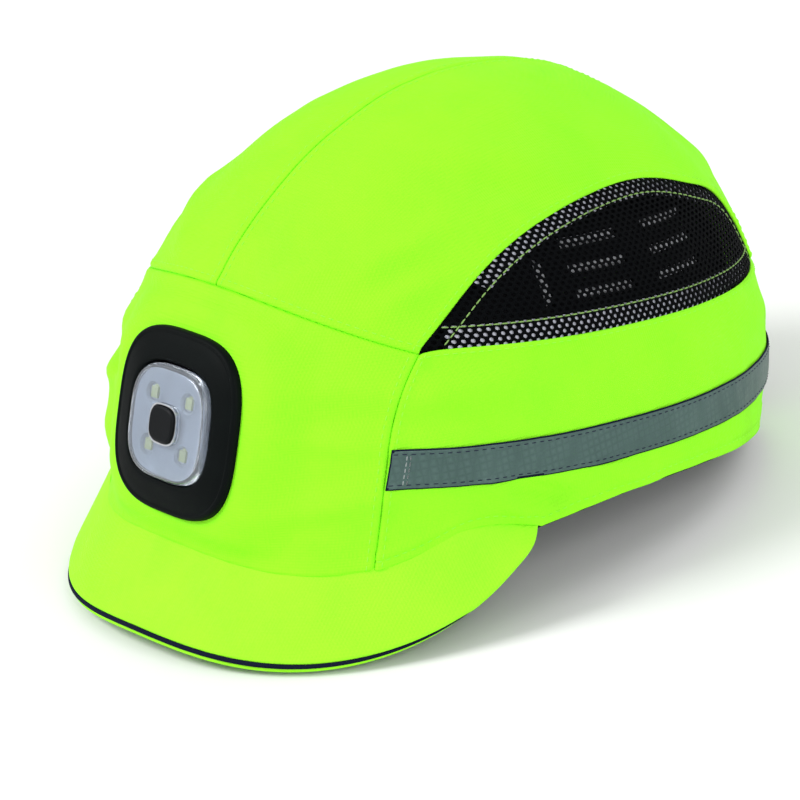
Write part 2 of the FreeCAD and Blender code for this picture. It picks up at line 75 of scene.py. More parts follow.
# ---- tape ----
TAPE_WIDTH, TAPE_MIDDLE_Z, TAPE_SLOPE = 13.0, -0.22, 0.0281
TAPE_FRONT_X, TAPE_REAR_X = 66.8, 46.5
TAPE_LIFT, TAPE_EDGE = (0.25, 0.85), 0.75

# ---- brim ----
BRIM_ROOT = np.array((0.0, -119.2, -38.3))
BRIM_SLOPE, BRIM_RADIUS, BRIM_HALF_WIDTH = 57.15, 111.0, 96.0
BRIM_REACH, BRIM_END, BRIM_CUT, BRIM_POWER = 31.7, -75.0, -51.0, (3.04, 2.68)

# ---- lamp ----
LAMP_CENTRE, LAMP_LEAN = np.array((0.0, -116.0, 1.6)), 8.0
BEZEL_HALF, SOCKET_HALF, CORNER_POWER = 28.9, 19.1, 3.2


# ======================= geometry helpers =======================

def to_row(points):
    """Head frame millimetres to row frame metres."""
    return HEAD_ORIGIN + MM * (np.asarray(points, float) @ HEAD_AXES)


def signed_power(value, exponent):
    return np.sign(value) * np.abs(value) ** exponent


def smooth(low, high, value):
    share = np.clip((value - low) / (high - low), 0.0, 1.0)
    return share * share * (3.0 - 2.0 * share)


def profile(level, exponent, flare):
    up = np.clip(level, 0.0, 1.0)
    rounded = 2.0 + (exponent - 2.0) * (1.0 - up ** 6)
    above = np.maximum(1.0 - up ** rounded, 0.0) ** (1.0 / rounded)
    return np.where(level > 0.0, above, 1.0 - flare * np.minimum(level, 0.0))


def flare_at(azimuth):
    return FRONT_FLARE + (REAR_FLARE - FRONT_FLARE) * np.maximum(np.sin(azimuth), 0.0) ** 2


def crown(uv, lift=0.0):
    """Points of the crown at stereographic coordinates, lifted off the outer cloth surface."""
    u, v = uv[..., 0], uv[..., 1]
    azimuth = np.arctan2(v, u)
    level = np.cos(2.0 * np.arctan(np.hypot(u, v) / 2.0))
    flare = flare_at(azimuth)
    across = signed_power(np.cos(azimuth), 2.0 / PLAN_EXPONENT)
    along = signed_power(np.sin(azimuth), 2.0 / PLAN_EXPONENT)
    length = np.where(along > 0.0, REAR_LENGTH, FRONT_LENGTH)
    exponent = np.where(along > 0.0, REAR_EXPONENT, FRONT_EXPONENT)
    x = (HALF_WIDTH + lift) * profile(level, SIDE_EXPONENT, flare) * across
    y = (length + lift) * profile(level, exponent, flare) * along
    y = y + TOP_SHIFT * np.maximum(level, 0.0) ** 2
    return np.stack([x, y, (CROWN_HEIGHT + lift) * level], -1)


def stereographic(level, azimuth):
    reach = 2.0 * np.tan(np.arccos(np.clip(level, -1.0, 1.0)) / 2.0)
    return np.stack([reach * np.cos(azimuth), reach * np.sin(azimuth)], -1)


def from_side(y, z, side):
    """Crown coordinates of a point seen from the side."""
    y, z = np.broadcast_arrays(np.asarray(y, float), np.asarray(z, float))
    level = z / CROWN_HEIGHT
    offset = y - TOP_SHIFT * np.maximum(level, 0.0) ** 2
    length = np.where(offset > 0.0, REAR_LENGTH, FRONT_LENGTH)
    exponent = np.where(offset > 0.0, REAR_EXPONENT, FRONT_EXPONENT)
    azimuth = np.zeros_like(level)
    for _ in range(6):
        along = offset / (length * profile(level, exponent, flare_at(azimuth)))
        sine = signed_power(np.clip(along, -1.0, 1.0), PLAN_EXPONENT / 2.0)
        azimuth = np.arctan2(sine, side * np.sqrt(np.maximum(1.0 - sine ** 2, 0.0)))
    return stereographic(level, azimuth)


def from_front(x, z, ahead):
    """Crown coordinates of a point seen from the front (ahead is 1) or the back (ahead is -1)."""
    x, z = np.broadcast_arrays(np.asarray(x, float), np.asarray(z, float))
    level = z / CROWN_HEIGHT
    azimuth = np.full(level.shape, -ahead * math.pi / 2.0)
    for _ in range(6):
        across = x / (HALF_WIDTH * profile(level, SIDE_EXPONENT, flare_at(azimuth)))
        cosine = signed_power(np.clip(across, -1.0, 1.0), PLAN_EXPONENT / 2.0)
        azimuth = np.arctan2(-ahead * np.sqrt(np.maximum(1.0 - cosine ** 2, 0.0)), cosine)
    return stereographic(level, azimuth)


def tape_middle(y):
    return TAPE_MIDDLE_Z + TAPE_SLOPE * y


def spline(points):
    """Smooth curve through points of the side view, as a function of the first coordinate."""
    points = np.array(points, float)
    a, b = points[:, 0], points[:, 1]
    step = np.diff(a)
    size = len(a)
    system, right = np.eye(size), np.zeros(size)
    for i in range(1, size - 1):
        system[i, i - 1:i + 2] = step[i - 1], 2.0 * (step[i - 1] + step[i]), step[i]
        right[i] = 6.0 * ((b[i + 1] - b[i]) / step[i] - (b[i] - b[i - 1]) / step[i - 1])
    bend = np.linalg.solve(system, right)

    def value(x):
        i = np.clip(np.searchsorted(a, x) - 1, 0, size - 2)
        h = step[i]
        p, q = (a[i + 1] - x) / h, (x - a[i]) / h
        return (p * b[i] + q * b[i + 1]
                + ((p ** 3 - p) * bend[i] + (q ** 3 - q) * bend[i + 1]) * h * h / 6.0)
    return value


hem_height = spline(HEM)
vent_height = spline(((MESH_FRONT_Y, MESH_BASE_Z), *MESH_TOP, (MESH_REAR_Y, MESH_BASE_Z)))


def running(line):
    """Running length along a polyline."""
    steps = np.linalg.norm(np.diff(line, axis=0), axis=1)
    return np.concatenate([[0.0], np.cumsum(steps)])


def points_at(at, run, line):
    """Points of a polyline at places along its running length."""
    return np.stack([np.interp(at, run, line[:, k]) for k in range(line.shape[1])], -1)


def at_even(line, count):
    run = running(line)
    return points_at(np.linspace(0.0, run[-1], count), run, line)


def measured(uv):
    """Running length in mm along a curve on the crown."""
    return running(crown(uv))


def at_shares(uv, shares):
    """The points of a curve on the crown at shares of its length."""
    run = measured(uv)
    return points_at(shares, run / run[-1], uv)


def shares_for(length, step, fine=True):
    """Shares of a length: fine rows beside both ends, even ones between."""
    edge = np.array([0.0, 0.5, 1.0, 1.6, 2.2, 2.8, 3.4, 4.2, 5.2, 6.4]) if fine else np.array([0.0])
    rest = length - 2.0 * edge[-1]
    count = max(int(round(rest / step)), 1)
    middle = np.linspace(edge[-1], length - edge[-1], count + 1)
    both = np.concatenate([edge[:-1], middle, (length - edge[:-1])[::-1]])
    return both / length


def coons(low, high, left, right, rows, columns):
    """Blend of four edge curves on the crown: low and high run left to right."""
    low, high = at_shares(low, columns), at_shares(high, columns)
    left, right = at_shares(left, rows), at_shares(right, rows)
    t, s = rows[:, None, None], columns[None, :, None]
    corners = ((1 - s) * (1 - t) * low[0] + s * (1 - t) * low[-1]
               + (1 - s) * t * high[0] + s * t * high[-1])
    return ((1 - t) * low[None] + t * high[None]
            + (1 - s) * left[:, None] + s * right[:, None] - corners)


def full_turn(count):
    """Even angles round a circle."""
    return 2.0 * math.pi * np.arange(count) / count


def grid_faces(rows, columns, closed=False):
    span = columns if closed else columns - 1
    j, i = np.meshgrid(np.arange(rows - 1), np.arange(span), indexing="ij")
    nxt = (i + 1) % columns
    a = j * columns + i
    b = j * columns + nxt
    return np.stack([a, b, b + columns, a + columns], -1).reshape(-1, 4)


def facing_out(points, faces):
    """The faces wound so that their normals point away from the head."""
    corner = points[faces]
    normal = np.cross(corner[:, 2] - corner[:, 0], corner[:, 3] - corner[:, 1])
    outward = np.einsum("ij,ij->i", normal, corner.mean(1)).sum()
    return faces if outward > 0.0 else faces[:, ::-1]


def make_mesh(name, points, faces, material, body):
    """A smooth mesh piece riding on a body; points are head frame millimetres."""
    data = bpy.data.meshes.new(name)
    data.from_pydata(to_row(points).tolist(), [], [list(map(int, f)) for f in faces])
    data.validate()
    data.update()
    data.polygons.foreach_set("use_smooth", [True] * len(data.polygons))
    piece = bpy.data.objects.new(name, data)
    bpy.context.scene.collection.objects.link(piece)
    data.materials.append(MATERIAL[material])
    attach(piece, body)
    return piece


def weld(piece, distance):
    """Merge a piece's doubled points, and face all of it outwards."""
    mesh = bmesh.new()
    mesh.from_mesh(piece.data)
    bmesh.ops.remove_doubles(mesh, verts=mesh.verts, dist=distance * MM)
    bmesh.ops.recalc_face_normals(mesh, faces=mesh.faces)
    mesh.to_mesh(piece.data)
    mesh.free()


def thicken(piece, thickness, offset):
    modifier = piece.modifiers.new("thickness", "SOLIDIFY")
    modifier.thickness = thickness * MM
    modifier.offset = offset


def wobble(points, size, seed):
    """Smooth noise between about -1 and 1 at head frame points."""
    flat = np.asarray(points, float).reshape(-1, 3)
    shift = Vector((seed * 17.3, seed * 5.1, seed * 9.7))
    values = [noise.noise(Vector(p) / size + shift) for p in flat]
    return np.array(values).reshape(np.asarray(points).shape[:-1])


# ======================= folds and seams of the cloth =======================

FOLD_GAIN = 2.4

# each fold: start and end (head frame, wearer's left side), half width, height
FOLDS = (
    ((20.0, -100.0, 47.0), (50.0, -65.0, 63.4), 6.0, 0.9),
    ((43.0, -85.0, 51.7), (53.0, -53.0, 67.4), 5.0, 0.8),
    ((53.5, -81.0, 45.0), (62.0, -58.0, 55.0), 4.5, 0.7),
    ((36.0, -50.0, 82.0), (57.0, -18.0, 74.0), 8.0, -1.0),
    ((30.0, -60.0, 80.0), (52.0, -10.0, 82.0), 9.0, 0.7),
    ((64.0, -84.0, 22.0), (30.0, -108.0, 18.0), 4.0, 0.9),
    ((65.0, -85.0, 14.0), (34.0, -109.0, 8.0), 3.5, -0.7),
    ((66.0, -87.0, 4.0), (40.0, -107.0, 4.0), 3.5, 0.6),
    ((66.0, -88.0, -12.0), (36.0, -112.0, -22.0), 4.5, 0.8),
    ((68.0, -82.0, 20.0), (86.0, -44.0, 24.0), 5.0, 0.8),
    ((68.0, -84.0, 12.0), (84.0, -52.0, 16.0), 3.5, -0.6),
    ((87.0, -48.0, -10.5), (92.0, -26.0, -18.0), 3.0, -1.0),
    ((84.0, -58.0, -10.0), (88.0, -44.0, -22.0), 3.5, 0.9),
    ((93.0, -20.0, -9.0), (94.0, 6.0, -16.0), 3.5, 0.8),
    ((93.0, 10.0, 26.0), (88.0, 40.0, 22.0), 7.0, 0.7),
    ((76.0, 70.0, 26.0), (60.0, 92.0, 20.0), 6.0, 0.7),
    ((20.0, 104.0, 48.0), (30.0, 84.0, 74.0), 7.0, 0.8),
    ((12.0, 60.0, 96.0), (40.0, 74.0, 70.0), 9.0, -0.8),
)


# where the soft cover sags or bulges on one side only
DENTS = (
    ((-54.0, -72.0, 55.0), (-12.0, 14.0, 103.0), 22.0, -0.9),
    ((-58.0, -99.0, -31.0), (-60.0, -96.0, -27.0), 11.0, -1.4),
    ((-56.0, -97.5, -9.0), (-56.0, -97.0, 2.0), 11.0, 2.6),
)


def along_line(points, start, end, width):
    """Swell of a given half width beside a line, from 1 on it to 0, and the share along it."""
    run = end - start
    share = np.clip((points - start) @ run / (run @ run), 0.0, 1.0)
    gap = np.linalg.norm(points - (start + share[..., None] * run), axis=-1)
    return np.exp(-(gap / width) ** 2), share


def folds(points):
    """Soft folds, a little different on the two sides."""
    lift = np.zeros(points.shape[:-1])
    for start, end, width, height in DENTS:
        lift += height * along_line(points, np.array(start), np.array(end), width)[0]
    for number, (start, end, width, height) in enumerate(FOLDS):
        for side in (1.0, -1.0):
            slip = 0.0 if side > 0 else 4.0 * math.sin(7.0 * number)
            a = np.array(start) * (side, 1.0, 1.0) + (0.0, slip, 0.5 * slip)
            b = np.array(end) * (side, 1.0, 1.0) + (0.0, slip, 0.0)
            swell, share = along_line(points, a, b, width)
            taper = 0.35 + 0.65 * np.sin(math.pi * np.clip(share, 0.02, 0.98))
            lift += FOLD_GAIN * height * taper * swell
    return lift


def cloth_lift(points):
    """Folds and slow unevenness of the cover at head frame points, without its seams."""
    return folds(points) + 0.5 * wobble(points, 26.0, 1) + 0.18 * wobble(points, 10.0, 2)


def under_tape(points):
    """1 under the reflective tape, falling to 0 beside it."""
    gap = np.abs(points[..., 2] - TAPE_MIDDLE_Z - TAPE_SLOPE * points[..., 1])
    side = np.abs(points[..., 0]) > SIDE_SEAM_X - 1.0
    behind = points[..., 1] > 0.0
    return (1.0 - smooth(6.5, 8.0, gap)) * (side | behind)


def seam_lift(distance, kind):
    """Height of the cloth near a sewn edge, by its distance from the seam line."""
    if kind == "open":
        return np.zeros_like(distance)
    if kind == "hem":
        return 0.35 * (1.0 - smooth(5.5, 7.0, distance)) - 0.3 * np.exp(-((distance - 2.8) / 0.5) ** 2)
    dip = -0.5 * np.exp(-(distance / 0.5) ** 2)
    ridge = 0.32 * np.exp(-((distance - 2.0) / 1.8) ** 2)
    groove = -0.1 * np.exp(-((distance - 2.6) / 0.45) ** 2)
    return dip + ridge + groove


def edge_distances(points):
    """Distances of each grid point from the grid's low, high, left and right edges."""
    down = np.linalg.norm(np.diff(points, axis=0), axis=-1)
    over = np.linalg.norm(np.diff(points, axis=1), axis=-1)
    low = np.concatenate([np.zeros((1, points.shape[1])), np.cumsum(down, 0)])
    left = np.concatenate([np.zeros((points.shape[0], 1)), np.cumsum(over, 1)], 1)
    return {"low": low, "high": low[-1:] - low, "left": left, "right": left[:, -1:] - left}


PANEL_STEP = 1.5                       # spacing of a panel's grid, away from its seams


class Panel:
    """A sewn cloth panel: its grid on the crown, its lift, and rows along its edges."""

    def __init__(self, low, high, left, right, kinds):
        rows = shares_for(max(measured(left)[-1], measured(right)[-1]), PANEL_STEP)
        columns = shares_for(max(measured(low)[-1], measured(high)[-1]), PANEL_STEP)
        self.uv = coons(low, high, left, right, rows, columns)
        nominal = crown(self.uv)
        self.distance = edge_distances(nominal)
        lift = cloth_lift(nominal)
        pressed = 1.0 - under_tape(nominal)
        tape_gap = np.abs(nominal[..., 2] - tape_middle(nominal[..., 1]))
        near_tape = np.exp(-((tape_gap - 7.5) / 2.5) ** 2) * (np.abs(nominal[..., 0]) > SIDE_SEAM_X)
        lift += 0.3 * wobble(nominal, 6.0, 7) * near_tape
        for edge, kind in kinds.items():
            gap = self.distance[edge]
            lift += seam_lift(gap, kind)
            if kind != "open":
                pucker = wobble(nominal, 4.2, 3) * np.exp(-gap / 4.5)
                lift += 0.34 * pucker * smooth(0.0, 2.0, gap) * pressed
        self.lift = lift
        self.points = crown(self.uv, lift)

    def row_at(self, edge, gap):
        """Points of the finished surface that run along an edge, a gap away from it."""
        lines, uv, lift = self.distance[edge], self.uv, self.lift
        if edge in ("low", "high"):
            lines, uv, lift = lines.T, np.swapaxes(uv, 0, 1), lift.T
        found_uv, found_lift = [], []
        for d, q, h in zip(lines, uv, lift):
            if d.max() < gap:
                continue
            order = np.argsort(d)
            found_uv.append([np.interp(gap, d[order], q[order, k]) for k in (0, 1)])
            found_lift.append(np.interp(gap, d[order], h[order]))
        return crown(np.array(found_uv), np.array(found_lift))

    def build(self, name, node, hole=None):
        points = self.points.reshape(-1, 3)
        faces = facing_out(points, grid_faces(*self.uv.shape[:2]))
        if hole is not None:
            faces = faces[~hole(points[faces].mean(1))]
        piece = make_mesh(name, points, faces, "lime", "cover")
        thicken(piece, CLOTH, -1.0)
        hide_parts(node)


# ======================= stitches =======================

STITCH_LENGTH, STITCH_PITCH, STITCH_START, THREAD = 2.3, 2.9, 0.4, 0.2


def stitch_mesh(name, lines, material, body="cover", thread=THREAD,
                pitch=STITCH_PITCH, length=STITCH_LENGTH):
    """Short stitches along lines; each end dips into the cloth."""
    sides, rings = 6, 5
    points, faces, count = [], [], 0
    ring_share = np.linspace(0.0, 1.0, rings)
    swell = np.array([0.45, 0.95, 1.0, 0.95, 0.45])
    sink = np.array([-0.25, 0.0, 0.06, 0.0, -0.25])
    turn = full_turn(sides)
    for line in lines:
        run = running(line)
        for start in np.arange(STITCH_START, run[-1] - length, pitch):
            spine = points_at(start + length * ring_share, run, line)
            ahead = spine[-1] - spine[0]
            ahead = ahead / np.linalg.norm(ahead)
            out = spine.mean(0) * (1.0, 0.75, 1.0)
            out = out - ahead * (out @ ahead)
            out = out / np.linalg.norm(out)
            over = np.cross(ahead, out)
            circle = np.cos(turn)[:, None] * over + np.sin(turn)[:, None] * out
            tube = (spine[:, None] + sink[:, None, None] * out
                    + thread * swell[:, None, None] * circle[None])
            points.append(tube.reshape(-1, 3))
            faces.extend((grid_faces(rings, sides, closed=True) + count).tolist())
            faces.append([count + k for k in range(sides)][::-1])
            faces.append([count + (rings - 1) * sides + k for k in range(sides)])
            count += rings * sides
    make_mesh(name, np.concatenate(points), faces, material, body)


# ======================= materials =======================

class Shader:
    """Small helper to write node materials."""

    def __init__(self, name, color, roughness=0.6, metallic=0.0, specular=0.25):
        self.material = bpy.data.materials.new(name)
        self.material.use_nodes = True
        self.tree = self.material.node_tree
        self.bsdf = self.tree.nodes["Principled BSDF"]
        self.bsdf.inputs["Base Color"].default_value = (*color, 1.0)
        self.bsdf.inputs["Roughness"].default_value = roughness
        self.bsdf.inputs["Metallic"].default_value = metallic
        self.bsdf.inputs["Specular IOR Level"].default_value = specular
        self.place = self.tree.nodes.new("ShaderNodeTexCoord").outputs["Object"]

    def node(self, kind, **inputs):
        made = self.tree.nodes.new(kind)
        for key, value in inputs.items():
            socket = made.inputs[key.replace("_", " ")]
            if isinstance(value, bpy.types.NodeSocket):
                self.tree.links.new(value, socket)
            else:
                socket.default_value = value
        return made

    def noise(self, scale, detail=3.0):
        made = self.node("ShaderNodeTexNoise", Vector=self.place, Scale=scale, Detail=detail,
                         Roughness=0.55)
        return made.outputs["Fac"]

    def wave(self, scale, direction):
        made = self.node("ShaderNodeTexWave", Vector=self.place, Scale=scale, Distortion=0.0)
        made.bands_direction = direction
        return made.outputs["Fac"]

    def cells(self, scale, feature="F1", randomness=1.0):
        made = self.node("ShaderNodeTexVoronoi", Vector=self.place, Scale=scale,
                         Randomness=randomness)
        made.feature = feature
        return made.outputs["Distance"]

    def math(self, operation, a, b=0.0):
        made = self.tree.nodes.new("ShaderNodeMath")
        made.operation = operation
        for socket, value in zip(made.inputs, (a, b)):
            if isinstance(value, bpy.types.NodeSocket):
                self.tree.links.new(value, socket)
            else:
                socket.default_value = value
        return made.outputs[0]

    def ramp(self, value, stops):
        made = self.tree.nodes.new("ShaderNodeValToRGB")
        elements = made.color_ramp.elements
        while len(elements) < len(stops):
            elements.new(0.5)
        for element, (position, color) in zip(elements, stops):
            element.position = position
            element.color = (*color, 1.0)
        self.tree.links.new(value, made.inputs["Fac"])
        return made.outputs["Color"]

    def color(self, socket):
        self.tree.links.new(socket, self.bsdf.inputs["Base Color"])

    def rough(self, value, low, high):
        made = self.node("ShaderNodeMapRange", Value=value)
        made.inputs["To Min"].default_value = low
        made.inputs["To Max"].default_value = high
        self.tree.links.new(made.outputs["Result"], self.bsdf.inputs["Roughness"])

    def bump(self, height, strength=0.3, distance=0.0004):
        made = self.node("ShaderNodeBump", Strength=strength, Distance=distance, Height=height)
        self.tree.links.new(made.outputs["Normal"], self.bsdf.inputs["Normal"])

    def sheen(self, weight, tint):
        self.bsdf.inputs["Sheen Weight"].default_value = weight
        self.bsdf.inputs["Sheen Roughness"].default_value = 0.45
        self.bsdf.inputs["Sheen Tint"].default_value = (*tint, 1.0)


def weave(shader, threads_per_mm):
    """Height of a plain weave: crossing sine ribs in three directions of the object."""
    scale = threads_per_mm * 1000.0 / 20.0 * math.pi
    ribs = [shader.wave(scale, axis) for axis in ("X", "Y", "Z")]
    return shader.math("ADD", shader.math("ADD", ribs[0], ribs[1]), ribs[2])


def mixed(color, factor):
    return tuple(min(c * factor, 1.0) for c in color)


def cloth_material(name, color, threads_per_mm=2.2, bump=0.35, roughness=0.72, sheen=0.25):
    shader = Shader(name, color, roughness, specular=0.2 if max(color) > 0.1 else 0.05)
    mottled = shader.math("ADD", shader.math("MULTIPLY", shader.noise(38.0), 0.75),
                          shader.math("MULTIPLY", shader.noise(900.0, 2.0), 0.25))
    shader.color(shader.ramp(mottled, [(0.3, mixed(color, 0.9)), (0.5, color),
                                       (0.75, mixed(color, 1.08))]))
    shader.bump(shader.math("ADD", weave(shader, threads_per_mm),
                            shader.math("MULTIPLY", shader.noise(600.0), 1.5)), bump, 0.00018)
    shader.rough(shader.noise(120.0), roughness - 0.06, roughness + 0.08)
    shader.sheen(sheen, mixed(color, 1.4))
    return shader.material


LIME = (0.285, 0.93, 0.012)
# the brim's lime is the cover's lime painted lighter: painted light for the brighter light that falls on
# the brim
LIME_BRIM_PAINTED_LIGHT = (0.325, 0.93, 0.018)


def materials():
    made = {
        "lime": cloth_material("lime_cloth", LIME, sheen=0.06),
        "lime_brim_painted_light": cloth_material("lime_brim_painted_light_cloth", LIME_BRIM_PAINTED_LIGHT, sheen=0.06),
        "lime_thread": cloth_material("lime_thread", (0.33, 0.95, 0.05), 4.0, 0.4, 0.6, 0.05),
        "mesh": cloth_material("mesh_yarn", (0.0008, 0.0012, 0.0018), 3.0, 0.4, 0.8, 0.0),
        "mesh_thread": cloth_material("mesh_thread", (0.24, 0.42, 0.12), 4.0, 0.5, 0.6, 0.05),
        "backing": cloth_material("seam_backing", (0.72, 0.74, 0.84), 2.0, 0.4, 0.8, 0.0),
        "navy": cloth_material("navy_trim", (0.006, 0.008, 0.024), 2.5, 0.4, 0.7, 0.0),
        "liner": cloth_material("liner_knit", (0.014, 0.014, 0.017), 1.6, 0.6, 0.9, 0.1),
        "webbing": cloth_material("strap_webbing", (0.009, 0.009, 0.011), 1.2, 0.8, 0.7, 0.05),
        "navy_thread": cloth_material("navy_thread", (0.02, 0.025, 0.05), 4.0, 0.5, 0.5, 0.3),
        "pale_thread": cloth_material("pale_thread", (0.3, 0.34, 0.34), 4.0, 0.5, 0.5, 0.3),
        "grey_thread": cloth_material("grey_thread", (0.09, 0.09, 0.1), 4.0, 0.5, 0.5, 0.3),
        "hook": cloth_material("hook_tape", (0.015, 0.015, 0.017), 1.0, 1.0, 0.45, 0.1),
        "nap": cloth_material("loop_nap", (0.014, 0.014, 0.016), 1.0, 0.9, 0.95, 0.25),
    }
    made["tape"] = tape_material()
    made["foam"] = foam_material()
    made["shell"] = moulded_material("shell_plastic", (0.005, 0.005, 0.007), 0.55, 900.0, 0.12, 0.1)
    made["rubber"] = moulded_material("bezel_rubber", (0.0022, 0.0036, 0.0036), 0.5, 1500.0, 0.1, 0.05)
    made["lamp_plastic"] = moulded_material("lamp_plastic", (0.014, 0.014, 0.016), 0.4, 1200.0, 0.1)
    made["button"] = moulded_material("button_gloss", (0.004, 0.005, 0.006), 0.45, 900.0, 0.08, 0.1)
    made["circuit"] = moulded_material("circuit_white", (0.55, 0.6, 0.66), 0.35, 500.0, 0.05)
    made["reflector"] = moulded_material("reflector_white", (0.43, 0.47, 0.53), 0.4, 400.0, 0.04)
    made["cell"] = moulded_material("cell_wrap", (0.03, 0.06, 0.16), 0.3, 300.0, 0.1)
    made["lens"] = lens_material()
    made["led"] = led_material()
    made["chrome"] = metal_material("collar_metal", (0.75, 0.77, 0.8), 0.16)
    made["steel"] = metal_material("plated_steel", (0.5, 0.5, 0.5), 0.32)
    return made


def tape_material():
    shader = Shader("reflective_tape", (0.075, 0.12, 0.115), 0.42, 0.2)
    beads = shader.cells(1500.0)
    ribs = shader.cells(420.0, "DISTANCE_TO_EDGE", 0.15)
    tone = shader.math("ADD", shader.math("MULTIPLY", shader.noise(60.0), 0.7),
                       shader.math("MULTIPLY", ribs, 0.9))
    shader.color(shader.ramp(tone, [(0.25, (0.05, 0.092, 0.084)), (0.5, (0.062, 0.112, 0.102)),
                                    (0.8, (0.076, 0.132, 0.12))]))
    shader.bump(beads, 0.25, 0.0002)
    shader.rough(shader.noise(300.0), 0.32, 0.46)
    return shader.material


def foam_material():
    color = (0.74, 0.76, 0.8)
    shader = Shader("foam_grey", color, 0.85)
    pores = shader.cells(1100.0)
    # painted shade in the pits of the pores and painted highlight on the walls between them, on the same
    # cells as the bump
    shader.color(shader.ramp(pores, [(0.05, mixed(color, 0.7)), (0.35, color),
                                     (0.8, mixed(color, 1.12))]))
    shader.bump(pores, 0.6, 0.0005)
    shader.rough(shader.noise(200.0), 0.78, 0.92)
    return shader.material


def moulded_material(name, color, roughness, grain, strength, specular=0.25):
    shader = Shader(name, color, roughness, specular=specular)
    shader.color(shader.ramp(shader.noise(90.0), [(0.3, mixed(color, 0.85)), (0.6, color),
                                                  (0.8, mixed(color, 1.25))]))
    shader.bump(shader.cells(grain), strength, 0.00015)
    shader.rough(shader.noise(140.0, 4.0), roughness - 0.06, roughness + 0.1)
    return shader.material


def metal_material(name, color, roughness):
    shader = Shader(name, color, roughness, 1.0, 0.5)
    shader.rough(shader.noise(700.0, 2.0), roughness - 0.04, roughness + 0.1)
    shader.bump(shader.noise(1200.0), 0.04, 0.0001)
    return shader.material


def lens_material():
    shader = Shader("lens_clear", (0.86, 0.92, 1.0), 0.04, specular=0.5)
    shader.bsdf.inputs["Transmission Weight"].default_value = 0.92
    shader.bsdf.inputs["IOR"].default_value = 1.46
    shader.bump(shader.noise(220.0), 0.05, 0.0002)
    shader.rough(shader.noise(400.0), 0.03, 0.1)
    return shader.material


def led_material():
    shader = Shader("led_phosphor", (0.72, 0.74, 0.28), 0.35)
    shader.color(shader.ramp(shader.noise(1500.0), [(0.3, (0.56, 0.62, 0.3)), (0.7, (0.72, 0.76, 0.42))]))
    shader.bump(shader.noise(2500.0), 0.1, 0.0001)
    return shader.material


MATERIAL = materials()


# ======================= cover =======================

def line_between(a, b, count):
    return np.stack([np.linspace(a[k], b[k], count) for k in (0, 1)], -1)


def band_seam_z(x):
    return BAND_SEAM_CENTRE_Z - BAND_SEAM_DROP * np.asarray(x) ** 2


def arch_curve(side, grow):
    """Edge of the rear opening, from the hem to the centre line over its top."""
    half = ARCH_HALF_WIDTH + grow
    spring = ARCH_TOP_Z - 0.8 * ARCH_HALF_WIDTH
    top = ARCH_TOP_Z + grow
    turn = np.linspace(0.0, math.pi / 2.0, 160)
    x = half * np.cos(turn)
    z = spring + (top - spring) * np.sin(turn)
    low = np.linspace(hem_height(108.0), spring, 60)[:-1]
    x = np.concatenate([np.full(low.shape, half), x])
    z = np.concatenate([low, z])
    return from_front(side * x, z, -1)


def mesh_arch(side):
    turn = np.linspace(0.0, math.pi, 400)
    y = 0.5 * (MESH_FRONT_Y + MESH_REAR_Y) - 0.5 * (MESH_REAR_Y - MESH_FRONT_Y) * np.cos(turn)
    return from_side(y, vent_height(y), side)


def side_curves(side, brim):
    """The seam curves of one side, as crown coordinates."""
    corner_z = float(band_seam_z(SIDE_SEAM_X))
    seam_foot_z = float(np.interp(SIDE_SEAM_X, brim.inner[:, 0], brim.inner[:, 2]))
    under_brim = brim.inner[brim.inner[:, 0] > SIDE_SEAM_X]
    hem_y = np.linspace(BRIM_SEAM_END[1], 103.0, 300)[1:]
    foot_y = np.concatenate([under_brim[:, 1], hem_y])
    foot_z = np.concatenate([under_brim[:, 2], hem_height(hem_y)])
    front_x = np.linspace(0.0, SIDE_SEAM_X, 200)
    mesh_rear = crown(from_side(MESH_REAR_Y, MESH_BASE_Z, side))
    return {
        "band": from_front(side * front_x, band_seam_z(front_x), 1),
        "side_seam": from_front(np.full(160, side * SIDE_SEAM_X),
                                np.linspace(seam_foot_z, corner_z, 160), 1),
        "arch": arch_curve(side, ARCH_BINDING),
        "mesh_arch": mesh_arch(side),
        "mesh_base": from_side(np.linspace(MESH_FRONT_Y, MESH_REAR_Y, 400), MESH_BASE_Z, side),
        "rear_line": from_front(side * np.linspace(abs(float(mesh_rear[0])), 0.0, 200),
                                MESH_BASE_Z, -1),
        "hem": from_side(foot_y, foot_z, side),
    }


def join(*curves):
    """One curve out of several, without repeated joints."""
    return np.concatenate([curves[0]] + [c[1:] for c in curves[1:]])


def meet(curve, start, end):
    """Ease a curve's ends exactly onto two points."""
    share = np.linspace(0.0, 1.0, len(curve))[:, None]
    near = np.exp(-share * 40.0)
    far = np.exp(-(1.0 - share) * 40.0)
    return curve + near * (start - curve[0]) + far * (end - curve[-1])


def in_lamp_hole(points):
    """Whether head frame points lie inside the module's hole in the front band."""
    local = lamp_local(points)
    return (squircle_size(local) < SOCKET_HALF + HOLE_EASE) & (local[:, 2] > -20.0)


LAMP_SEAT, LAMP_PULL, HOLE_EASE = 0.9, (1.0, 1.7), 1.4


def squircle_size(local):
    """Half width of the lamp's rounded square that passes through each point."""
    flat = np.abs(local[..., :2]) ** CORNER_POWER
    return flat.sum(-1) ** (1.0 / CORNER_POWER)


def drawn_to_lamp(panel):
    """The band's points with the cloth drawn flat behind the lamp's bezel."""
    local = lamp_local(panel.points)
    border = np.min(list(panel.distance.values()), axis=0)
    pull = (1.0 - smooth(*LAMP_PULL, squircle_size(local) / BEZEL_HALF)) * smooth(0.0, 9.0, border)
    local[..., 2] += pull * np.maximum(LAMP_SEAT - local[..., 2], 0.0)
    return from_lamp(local)


